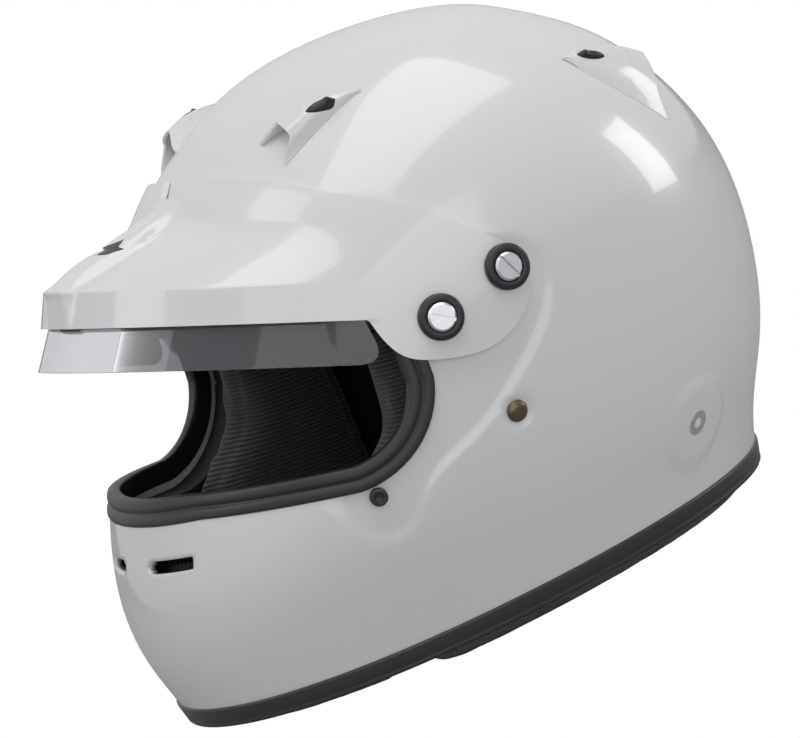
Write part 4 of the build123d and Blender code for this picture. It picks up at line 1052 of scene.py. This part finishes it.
def buildStrip():
    top, foot, low = strip["levels"]
    level = np.concatenate([np.linspace(top, foot, 5)[:-1], np.linspace(foot, low, strip["rows"] - 4)])
    flare = np.clip((foot - level) / (foot - low), 0, 1)
    # the end runs upright in the side view and turns forwards in a quarter round at the bottom
    drop = np.clip((strip["cornerLevel"] - level) / (strip["cornerLevel"] - low), 0, 1)
    endBack = strip["endBack"] + (strip["cornerBack"] - strip["endBack"]) * (1 - np.sqrt(1 - drop**2))
    def grid(inset):
        half = peak["half"] - strip["inset"] - inset + strip["sideFlare"] * flare
        reach = peak["reach"] - strip["inset"] - inset + strip["flare"] * flare
        ahead = (wornCentre[1] + level * wornUp[1] - endBack) / -wornAhead[1]
        end = np.arccos(np.clip((ahead - peak["brimCentre"]) / reach, -1, 1))
        turn = end[:, None] * np.linspace(-1, 1, strip["columns"])[None, :]
        x, y = half[:, None] * np.sin(turn), peak["brimCentre"] + reach[:, None] * np.cos(turn)
        angle, away = np.arctan2(x, y - peak["polar"]), np.hypot(x, y - peak["polar"])
        up = np.broadcast_to(level[:, None], angle.shape)
        away = np.maximum(away, skinReach(angle, up, strip["clear"] + strip["wall"] - inset))
        return fromPolar(away, angle, up)
    piece = closedSheet("glareStrip", grid(0.0)[::-1], grid(strip["wall"])[::-1], "smoke_clear", edge=0.0004)
    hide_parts("glare_strip")


buildStrip()

# ---------- screws' rings, rivets and studs
fittings = {
    # name: slot, node, seats, profile of radius and height above the skin, mm
    "screwRing": ("ring_rubber", "screw_rings", [(-0.001, 0.574), (-0.105, 0.542)], [
        (2.7, 3.05), (9.9, 3.05), (10.5, 3.5), (10.5, 5.2), (10.2, 5.9), (9.4, 6.45), (8.6, 6.65),
        (7.6, 6.65), (7.0, 6.4), (6.7, 5.9), (6.7, 3.9), (2.7, 3.9)]),
    "strapRivet": ("rivet_brass", "strap_rivets", [(-0.053, 0.327)], [
        (0, -9.8), (2.6, -9.8), (2.6, -2.0), (4.6, -2.0), (5.0, -1.7), (5.0, -1.3), (4.3, -0.4), (3.4, 0.1),
        (2.5, 0.4), (1.2, 0.58), (0, 0.6)]),
    "shieldStud": ("stud_black", "shield_studs", [(-0.258, 0.290)], [
        (0, -4.3), (2.6, -4.3), (2.6, -1.5), (3.8, -1.5), (4.1, -1.2), (4.1, 1.7), (3.9, 2.05), (3.5, 2.2),
        (2.6, 2.2), (2.2, 1.9), (2.1, 0.4), (1.7, 0.2), (0, 0.2)]),
}


def buildFittings():
    for name, (slotName, node, seats, profile) in fittings.items():
        for number, shares in enumerate(seats):
            for hand in ("left", "right"):
                piece = spun(f"{name}{number + 1}_{hand}", flankSeat(shares), profile, slotName, hand)
                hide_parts(node)


buildFittings()


# ---------- mesh behind the chin slots
chinMesh = {"half": 49.0, "up": 88.53, "rise": 6.6, "cell": 3.3, "wire": 1.0, "inset": 10.6}


def buildChinMesh():
    # a net of bars on the skin drawn in behind the slots
    across = np.arange(-chinMesh["half"], chinMesh["half"] + 0.1, chinMesh["cell"])
    heights = chinMesh["up"] + np.linspace(-chinMesh["rise"], chinMesh["rise"], 5)
    run = runAtHeight(heights)[:, None] + 0 * across[None, :]
    table = np.linspace(0, 0.9, 200)
    turn = np.stack([np.interp(np.abs(across), skinAt(table, r + 0 * table)[:, 0], table) for r in run[:, 0]])
    points = skinAt(turn * np.sign(across), run, inset=np.full(run.shape, chinMesh["inset"]))
    piece = makeMesh("chinMesh", points.reshape(-1, 3), gridFaces(*run.shape), "mesh_black")
    net = piece.modifiers.new("bars", "WIREFRAME")
    net.thickness = chinMesh["wire"] * mm
    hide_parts("chin_mesh")


buildChinMesh()
print("strip, fittings and chin mesh built")


# ---------- chin straps: flat webbing, its middle line drawn as seen from the front
webbing = {
    "wide": 24.4, "thick": 1.7, "bend": 1.25, "step": 0.8, "inset": 6.4,
    "rivet": (-0.053, 0.327), "above": 12.0, "low": 31.0, "shares": (0.35, 0.7, 1.0),
    # the long strap hangs in two folds, the short one goes round the two D-ring bars, mm from the middle
    "folds": [(62.3, 31.0), (62.3, 7.0), (59.7, 7.0), (59.7, 35.0), (57.1, 35.0), (57.1, 12.0)],
    "turn": (62.8, 31.0), "loop": (46.15, 25.0), "loopHalf": 5.1, "loopRise": 3.0,
    "tack": (9, 1.5, 0.5, 0.28),      # threads in a bar tack, their length, width and rise
    "tackWide": 0.8, "tacks": {"left": (8.0, -4.0, -30.0), "right": (8.0, -3.0)},
    "selvedge": (0.86, 0.05, 0.06), "edgeFall": 14, "thinnest": 0.12,
    # how the short strap's end leaves the D-rings, from the loop's middle plus its reach and rise
    "over": (1.5, 0.6), "under": [(1.5, -0.2), (7.5, 1.6)],
}


def softened(points, radius):
    # corners of a polyline rounded with a short parabola each
    points = np.asarray(points, float)
    path = [points[0]]
    for before, corner, after in zip(points[:-2], points[1:-1], points[2:]):
        back, on = before - corner, after - corner
        reach = min(radius, np.linalg.norm(back) * 0.49, np.linalg.norm(on) * 0.49)
        start = corner + back / np.linalg.norm(back) * reach
        stop = corner + on / np.linalg.norm(on) * reach
        t = np.linspace(0, 1, 9)[:, None]
        path.extend((1 - t) ** 2 * start + 2 * t * (1 - t) * corner + t**2 * stop)
    return np.vstack([path, points[-1:]])


def webbingRing(count=15):
    # half the section across the strap: place and half thickness, thinner at the woven edge
    u = np.sin(np.linspace(-1, 1, count) * math.pi / 2)
    place, wide, high = webbing["selvedge"]
    half = webbing["thick"] / 2 * (1 - np.abs(u) ** webbing["edgeFall"])
    half = half + high * np.exp(-((np.abs(u) - place) / wide) ** 2)
    return u * webbing["wide"] / 2, np.maximum(half, webbing["thinnest"])


boxCorners = np.array([[i, j, k] for i in (-1, 1) for j in (-1, 1) for k in (-1, 1)], float)
boxFaces = np.array([[0, 1, 3, 2], [4, 6, 7, 5], [0, 4, 5, 1], [2, 3, 7, 6], [0, 2, 6, 4], [1, 5, 7, 3]])


def buildStrap(hand, points):
    path = softened(points, webbing["bend"])
    length = np.linalg.norm(np.diff(path, axis=0), axis=1).sum()
    path = resample(path, int(length / webbing["step"]))
    along = np.gradient(path, axis=0)
    along /= np.linalg.norm(along, axis=1, keepdims=True)
    side = np.stack([along[:, 1], -along[:, 0]], 1)
    across, half = webbingRing()
    back = sidePlace(webbing["rivet"])[0][0]
    across, half = np.concatenate([across, across[::-1]]), np.concatenate([half, -half[::-1]])
    middle = path[:, None, :] + side[:, None, :] * half[None, :, None]
    points = np.stack([middle[..., 0], np.broadcast_to(back + across, middle.shape[:2]), middle[..., 1]], -1)
    rows, count = points.shape[:2]
    places = np.arange(rows) * length / rows
    uv = np.stack(np.broadcast_arrays(places[:, None], across[None, :]), -1).reshape(-1, 2)
    k = np.arange(count // 2 - 1)
    end = np.stack([k, k + 1, count - 2 - k, count - 1 - k], 1)
    quads = np.vstack([gridFaces(rows, count, closeColumns=True), end[:, ::-1], end + (rows - 1) * count])
    flat = points.reshape(-1, 3)
    # bar tacks: short threads side by side, standing a little out of both faces
    number, long, wide, rise = webbing["tack"]
    corners = boxCorners * [wide / 2, long / 2, webbing["thick"] / 2 + rise]
    for place in webbing["tacks"][hand]:
        row = int(place / length * (rows - 1)) if place >= 0 else rows - 1 + int(place / length * rows)
        xz = path[row] + along[row] * corners[:, :1] + side[row] * corners[:, 2:]
        for seat in np.linspace(-1, 1, number) * webbing["tackWide"] * webbing["wide"] / 2:
            quads = np.vstack([quads, boxFaces + len(flat)])
            uv = np.vstack([uv, np.zeros((8, 2))])
            flat = np.vstack([flat, np.stack([xz[:, 0], back + seat + corners[:, 1], xz[:, 1]], 1)])
    piece = makeMesh(f"strap_{hand}", flat, quads, "webbing_black", sharp=50, uv=uv, hand=hand)
    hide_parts(f"strap_{hand}")


def buildStraps():
    back, top = sidePlace(webbing["rivet"])[0]
    drops = [top + (webbing["low"] - top) * n for n in webbing["shares"]]
    heights = np.array([top + webbing["above"], top, *drops])
    hang = skinAt(turnAtSide(back, heights), runAtHeight(heights))
    hang = np.stack([hang[:, 0] - webbing["inset"], heights], 1)
    buildStrap("left", np.vstack([hang, webbing["folds"]]))
    x, z = webbing["loop"]
    reach, rise = webbing["loopHalf"], webbing["loopRise"]
    turn = np.linspace(math.pi / 2, math.pi * 1.5, 11)
    loop = np.stack([x - reach + rise + rise * np.cos(turn), z + rise * np.sin(turn)], 1)
    overX, overZ = webbing["over"]
    over = [(x + reach + overX, z + rise + overZ), (x + reach - rise, z + rise)]
    under = [(x + reach - rise, z - rise)] + [(x + reach + u, z + v) for u, v in webbing["under"]]
    buildStrap("right", np.vstack([hang, [webbing["turn"]], over, loop, under]))


buildStraps()
print("straps built")


# ---------- padded pieces: a starting form, a voxel remesh, cloth pressure, one subdivision
linerShares = np.array([0, 0, 0, 0, 0.1, 0.35, 0.7, 0.9, 1, 1, 1, 1, 1, 1, 1.0])


def innerForm(inset, depth):
    # the row table drawn in: by an amount below the widest row, in proportion above it
    rows, widest = skinRows.copy(), skinRows[5]
    draw = inset + depth * linerShares
    rise = shell["height"] * 0.540
    above = rows[:, 0] > widest[0] + 0.01
    for column, full in ((1, widest[1]), (2, widest[2]), (3, shell["width"] / 2)):
        rows[:, column] = np.where(above, rows[:, column] * (1 - draw / full), rows[:, column] - draw)
    rows[:, 0] = np.where(above, widest[0] + (rows[:, 0] - widest[0]) * (1 - draw / rise), rows[:, 0])
    rows[-1, 1:4] = skinRows[-1, 1:4]
    knots = meridianRun(rows)
    run = np.linspace(0, knots[-1], 1200)
    return run, np.stack([naturalSpline(knots, rows[:, k], run) for k in range(5)], 1)


def innerAt(form, turn, share):
    # place on a drawn-in form, share from 0 at its foot to 1 at its crown
    run, rows = form
    height, front, back, half, full = (np.interp(share * run[-1], run, rows[:, k]) for k in range(5))
    half, reach = np.maximum(half, 0.4), np.maximum((front + back) / 2, 0.4)
    y = -((front - back) / 2 + reach * np.cos(turn))
    return np.stack([ovalAcross(turn, half, full), y, height + 0 * turn], -1)


def cavityWidth(form, y, height):
    # how far across a drawn-in form reaches at places seen from the side
    rows = form[1]
    front, back, half, full = (np.interp(height, rows[:, 0], rows[:, k]) for k in (1, 2, 3, 4))
    return ovalAcross(ovalTurn(y, front, back), half, full)


def meshPoints(mesh):
    co = np.empty(len(mesh.vertices) * 3)
    mesh.vertices.foreach_get("co", co)
    return co.reshape(-1, 3)


def swapMesh(piece):
    # the evaluated mesh takes the place of the piece's own, so no modifier is left on it
    graph = bpy.context.evaluated_depsgraph_get()
    mesh = bpy.data.meshes.new_from_object(piece.evaluated_get(graph))
    piece.modifiers.clear()
    old, piece.data = piece.data, mesh
    bpy.data.meshes.remove(old)
    return mesh


swelling = {"frames": 20, "quality": 4}


def inflate(name, points, quads, slotName, spec, finishPoints, clothPlaces, triangles=None):
    # finishPoints moves the swollen points (mm), clothPlaces gives the knit's flat places (mm)
    piece = makeMesh(name, points, quads, slotName, triangles=triangles)
    knit = piece.data.materials[0]
    block = piece.modifiers.new("remesh", "REMESH")
    block.mode, block.voxel_size = "VOXEL", spec["voxel"] * mm
    mesh = swapMesh(piece)
    start = meshPoints(mesh)
    scene = bpy.context.scene
    cloth = piece.modifiers.new("pressure", "CLOTH")
    cloth.settings.use_pressure = True
    cloth.settings.uniform_pressure_force = spec["pressure"]
    cloth.settings.effector_weights.gravity = 0
    cloth.settings.quality = swelling["quality"]
    cloth.settings.tension_stiffness = cloth.settings.compression_stiffness = spec["stiff"]
    for step in range(swelling["frames"]):
        scene.frame_set(step + 1)
    graph = bpy.context.evaluated_depsgraph_get()
    moved = meshPoints(piece.evaluated_get(graph).data)
    piece.modifiers.clear()
    scene.frame_set(1)
    shift = moved - start
    length = np.linalg.norm(shift, axis=1, keepdims=True)
    start = start + shift * np.minimum(1, spec["cap"] * mm / np.maximum(length, 1e-9))
    mesh.vertices.foreach_set("co", start.ravel())
    piece.modifiers.new("soften", "SUBSURF").levels = 1
    mesh = swapMesh(piece)
    mesh.update()
    normals = np.empty(len(mesh.vertices) * 3)
    mesh.vertices.foreach_get("normal", normals)
    places = finishPoints(meshPoints(mesh) / mm, normals.reshape(-1, 3))
    mesh.vertices.foreach_set("co", (places * mm).ravel())
    corners = np.empty(len(mesh.loops), int)
    mesh.loops.foreach_get("vertex_index", corners)
    layer = mesh.uv_layers.get("cloth") or mesh.uv_layers.new(name="cloth")
    layer.data.foreach_set("uv", clothPlaces(places)[corners].ravel())
    mesh.polygons.foreach_set("use_smooth", np.ones(len(mesh.polygons), bool))
    mesh.update()
    mesh.materials.clear()
    mesh.materials.append(knit)
    return piece


def mirrored(piece, name):
    # the same piece for the other side
    mesh = piece.data.copy()
    mesh.name = name
    co = meshPoints(mesh) * np.array([-1, 1, 1])
    mesh.vertices.foreach_set("co", co.ravel())
    mesh.flip_normals()
    mesh.update()
    twin = linked(name, mesh)
    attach(twin, "helmet")
    return twin


# how far the head space is drawn in from the skin, and how much more at the crown
linerInset = 22.8, 17.0
cavity = innerForm(*linerInset)
soft = {"voxel": 4.0, "pressure": 4.0, "stiff": 15, "cap": 2.5, "fill": 0.6}
cheek = {
    **soft,
    "outline": [(-0.300, 0.066), (-0.305, 0.255), (-0.235, 0.325), (-0.178, 0.385), (-0.160, 0.540),
                (-0.060, 0.565), (-0.010, 0.450), (-0.010, 0.066)],
    "round": 0.30, "start": 66.0, "depth": 22.0, "thinnest": 5.0,
    # share of the outline against share of the depth
    "bulge": ([0, 0.5, 0.72, 0.90, 0.985, 1.0], [0.0, 0.0, 0.08, 0.26, 0.52, 0.9]),
    "seam": 0.86, "seamWide": 1.8, "seamDeep": 1.6, "knitSlopes": (0.6, 0.12),
}


def roundedOutline(points, share, count):
    # corners cut back by a share of each side and bridged by a curve through the corner's pull
    points = np.asarray(points, float)
    ahead, behind = np.roll(points, -1, 0), np.roll(points, 1, 0)
    parts = []
    for corner, nextOne, last in zip(points, ahead, behind):
        a, b = corner + (last - corner) * share, corner + (nextOne - corner) * share
        t = np.linspace(0, 1, 14)[:, None]
        parts.append(a * (1 - t) ** 2 + corner * 2 * t * (1 - t) + b * t**2)
    return resample(np.vstack(parts), count, closed=True)


def buildCheekPads():
    outline = roundedOutline(sidePlace(cheek["outline"]), cheek["round"], 160)
    middle = outline.mean(0)
    share = np.concatenate([[0.02], np.linspace(0.08, 0.9, 14), [0.94, 0.97, 0.99, 1.0]])
    face = middle + (outline - middle) * share[:, None, None]
    liner = cavityWidth(cavity, face[..., 0], face[..., 1])
    depth = np.interp(share, *cheek["bulge"]) * cheek["depth"]
    inner = np.minimum(cheek["start"] + depth[:, None] + 0 * liner, liner - cheek["thinnest"])
    front = np.concatenate([inner[..., None], face], -1)
    back = np.concatenate([liner[..., None], face], -1)[::-1]
    points, quads, caps = capped(np.concatenate([front, back]))

    def finishPoints(places, normals):
        room = cavityWidth(cavity, places[:, 1], places[:, 2])
        within = np.abs(outlineDistance(places[:, 1:], middle + (outline - middle) * cheek["seam"]))
        facing = smoothstep(-normals[:, 0], 0.0, 0.5)
        sink = cheek["seamDeep"] * np.exp(-((within / cheek["seamWide"]) ** 2)) * facing
        places = places - normals * sink[:, None]
        places[:, 0] = np.minimum(places[:, 0], room)
        return places

    def clothPlaces(places):
        # ribs run round the head, so V follows the height and U the way back and the depth
        deep, rise = cheek["knitSlopes"]
        return np.stack([places[:, 1] - places[:, 0] * deep, places[:, 2] + places[:, 1] * rise], 1)

    left = inflate("cheekPad_left", points, quads, "knit_dark", cheek, finishPoints, clothPlaces, caps)
    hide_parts("cheek_pad_left")
    right = mirrored(left, "cheekPad_right")
    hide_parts("cheek_pad_right")


crown = {
    **soft, "edge": [(-0.130, 0.585), (0.000, 0.585), (0.090, 0.370), (0.560, 0.290)], "wall": 7.0,
    # place, width and depth of the channels beside the middle and of the seam across
    "channels": (25.6, 3.0, 4.5), "seam": (60.0, 2.2, 2.0), "fill": 0.5, "top": 0.985,
}
brow = {**soft, "front": -0.139, "floor": 148.5, "clear": 8.0, "wall": 7.0, "voxel": 3.0, "cap": 2.0,
        "turns": 1.75, "narrowest": 0.02}


def layerPad(name, node, spec, turns, low, high, closed, sinkAt):
    # a pad between two drawn-in forms, over a range of shares of each meridian
    inset, depth = linerInset
    share = low + (high - low) * np.linspace(0, 1, 40)[:, None]
    turn = turns + 0 * share
    top, bottom = innerAt(cavity, turn, share), innerAt(innerForm(inset + spec["wall"], depth), turn, share)
    grid = np.concatenate([top, bottom[::-1]])
    quads = gridFaces(len(grid), len(turns), closeRows=not closed, closeColumns=closed)
    points, triangles, rows, count = grid.reshape(-1, 3), None, len(share), len(turns)
    number = np.arange(2 * rows * count).reshape(2 * rows, count)
    if closed:
        # the two crowns close on themselves, and the feet meet in a band
        quads = np.delete(quads, number[rows - 1], 0)
        first, second, foot = number[rows - 1], number[rows], number[-1]
        points = np.vstack([points, points[first].mean(0), points[second].mean(0)])
        band = np.stack([foot, np.roll(foot, -1), np.roll(number[0], -1), number[0]], 1)
        quads = np.concatenate([quads, band])
        inward = fan(second, len(points) - 1)[:, [1, 0, 2]]
        triangles = np.concatenate([fan(first, len(points) - 2), inward])
    else:
        for column in (0, -1):
            a, b = number[:rows, column], number[:rows - 1:-1, column]
            band = np.stack([a[:-1], a[1:], b[1:], b[:-1]], 1)
            quads = np.concatenate([quads, band[:, ::-1] if column else band])

    def finishPoints(places, normals):
        return places - normals * sinkAt(places, normals)[:, None]

    def clothPlaces(places):
        return np.stack([places[:, 1], places[:, 0]], 1)

    piece = inflate(name, points, quads, "knit_dark", spec, finishPoints, clothPlaces, triangles)
    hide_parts(node)


def meridianRange(form, turns, allowed):
    # the first and last share of each meridian at which a test of its places holds
    share = np.linspace(0, 1, 500)
    ok = np.stack([allowed(innerAt(form, turn + 0 * share, share)) for turn in turns], 1)
    return share[np.argmax(ok, 0)], share[len(share) - 1 - np.argmax(ok[::-1], 0)], ok.any(0)


def buildCrownPad():
    edge = sidePlace(crown["edge"])
    turns = np.linspace(-math.pi, math.pi, 180, endpoint=False)
    def allowed(places):
        return (places[:, 1] > edge[0, 0]) & (places[:, 2] > np.interp(places[:, 1], edge[:, 0], edge[:, 1]))
    low = meridianRange(cavity, turns, allowed)[0]
    low = np.convolve(np.concatenate([low[-3:], low, low[:3]]), np.full(7, 1 / 7), "valid")
    def sinkAt(places, normals):
        groove = 0
        for away, (place, wide, deep) in (
                (np.abs(places[:, 0]), crown["channels"]), (places[:, 1], crown["seam"])):
            groove = groove + deep * np.exp(-((away - place) / wide) ** 2)
        return groove * smoothstep(-normals[:, 2], 0.0, 0.4)
    high = np.full(len(turns), crown["top"])
    layerPad("crownPad", "crown_pad", crown, turns, low, high, True, sinkAt)


def buildBrowPad():
    turns = np.linspace(-brow["turns"], brow["turns"], 120)
    def allowed(places):
        clear = outlineDistance(places[:, 1:], portLine) > brow["clear"]
        return (places[:, 1] < brow["front"] * shell["length"]) & (places[:, 2] > brow["floor"]) & clear
    low, high, found = meridianRange(cavity, turns, allowed)
    wide = found & (high - low > brow["narrowest"])
    turns, low, high = turns[wide], low[wide], high[wide]
    layerPad("browPad", "brow_pad", brow, turns, low, high, False, lambda places, _: np.zeros(len(places)))


roll = {
    **soft, "cut": -83.3, "front": 0.481, "back": 0.409, "half": 0.757, "fullness": 0.02,
    "outer": [(0.0, 14.0), (0.18, 9.8), (0.5, 8.2), (0.82, 8.6), (1.0, 12.5)],
    "inner": [(1.0, 25.0), (0.8, 30.0), (0.5, 31.5), (0.22, 30.0), (0.0, 26.0)],
    "foot": 0.8, "height": 26.5, "voxel": 3.0, "cap": 1.6, "fill": 0.7, "tip": 0.25, "tipLong": 0.035,
    # the knit's flat places: mean radius of the rim, and the share of the reach added to the height
    "radius": 105, "slope": 0.6,
    # lowest share of the foot once swollen, inset of the middle line, turn past the cut, places along it
    "lowest": 0.1, "drawn": 20, "past": 0.02, "along": 220,
}
curtain = {
    **roll, "outer": [(0.0, 12.6), (0.15, 9.2), (0.5, 7.6), (0.8, 7.6), (1.0, 11.0)],
    "inner": [(1.0, 14.3), (0.75, 17.0), (0.5, 18.0), (0.25, 17.5), (0.0, 15.2)],
    "foot": 4.9, "height": 13.6, "cut": -87.0, "voxel": 2.5, "cap": 0.8, "fill": 0.4,
    "past": -0.02, "along": 140,
}


def buildRoll(name, node, spec, turns):
    # a closed section of rise and inset, carried along the rim, its ends drawn together
    section = np.array(spec["outer"] + spec["inner"])
    section = resample(np.stack([section[:, 0] * spec["height"], section[:, 1]], 1), 40, closed=True)
    middle = section.mean(0)
    fromEnd = np.minimum(np.abs(turns - turns[0]), np.abs(turns - turns[-1])) / np.abs(turns[-1] - turns[0])
    rounding = np.sqrt(1 - (1 - np.clip(fromEnd / spec["tipLong"], 0, 1)) ** 2)
    size = spec["tip"] + (1 - spec["tip"]) * rounding
    grid = middle + (section[None] - middle) * size[:, None, None]
    inset, level = grid[..., 1], spec["foot"] + grid[..., 0]
    front, back = (spec[key] * shell["length"] for key in ("front", "back"))
    half = spec["half"] * shell["width"] / 2
    turn = turns[:, None]
    y = -((front - back) / 2 + ((front + back) / 2 - inset) * np.cos(turn))
    flat, quads, caps = capped(np.stack([ovalAcross(turn, half - inset, spec["fullness"]), y, level], -1))

    def finishPoints(places, _):
        places[:, 2] = np.maximum(places[:, 2], spec["foot"] * spec["lowest"])
        return places

    def clothPlaces(places):
        around = np.arctan2(places[:, 0], -places[:, 1]) * spec["radius"]
        return np.stack([around, places[:, 2] + np.hypot(places[:, 0], places[:, 1]) * spec["slope"]], 1)

    piece = inflate(name, flat, quads, "knit_roll", spec, finishPoints, clothPlaces, caps)
    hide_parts(node)


def rimTurn(spec):
    # the turn at which the roll's middle line ends, at its cut
    front, back = (spec[key] * shell["length"] - spec["drawn"] for key in ("front", "back"))
    return math.acos((-spec["cut"] - (front - back) / 2) / ((front + back) / 2)) + spec["past"]


buildCheekPads()
print("cheek pads built")
buildCrownPad()
print("crown pad built")
buildBrowPad()
print("brow pad built")
start = rimTurn(roll)
buildRoll("neckRoll", "neck_roll", roll, np.linspace(start, 2 * math.pi - start, roll["along"]))
start = rimTurn(curtain)
buildRoll("chinCurtain", "chin_curtain", curtain, np.linspace(-start, start, curtain["along"]))
print("neck roll and chin curtain built")


# ---------- looks of the solids that stay as they are
def finishSolids():
    slots = {item["node"]: item["material_slot"] for item in frame["record"]["subparts"]}
    for node, solid in frame["nodes"].items():
        if not solid.hide_render:
            solid.data.materials.clear()
            solid.data.materials.append(finishes[slots[node]])
            solid.data.set_sharp_from_angle(angle=math.radians(30))


# ---------- floor
def buildFloor():
    # pale paper that camera and transmission rays see as plain white
    data = bpy.data.meshes.new("floor")
    size = 4.0
    corners = [(-size, -size, 0), (size, -size, 0), (size, size, 0), (-size, size, 0)]
    data.from_pydata(corners, [], [(0, 1, 2, 3)])
    floor = linked("floor", data)
    material, tree, plain = newMaterial("floorPaper", (0.5, 0.5, 0.5), 0.9, {})
    glow, seen = addNode(tree, "Emission", {"Color": white}), addNode(tree, "LightPath")
    either, mix = addNode(tree, "Math", operation="MAXIMUM"), addNode(tree, "MixShader")
    wire(tree, (seen, "Is Camera Ray", either, 0), (seen, "Is Transmission Ray", either, 1),
         (either, 0, mix, 0), (plain, 0, mix, 1), (glow, 0, mix, 2),
         (mix, 0, tree.nodes["Material Output"], "Surface"))
    data.materials.append(material)


finishSolids()
buildFloor()
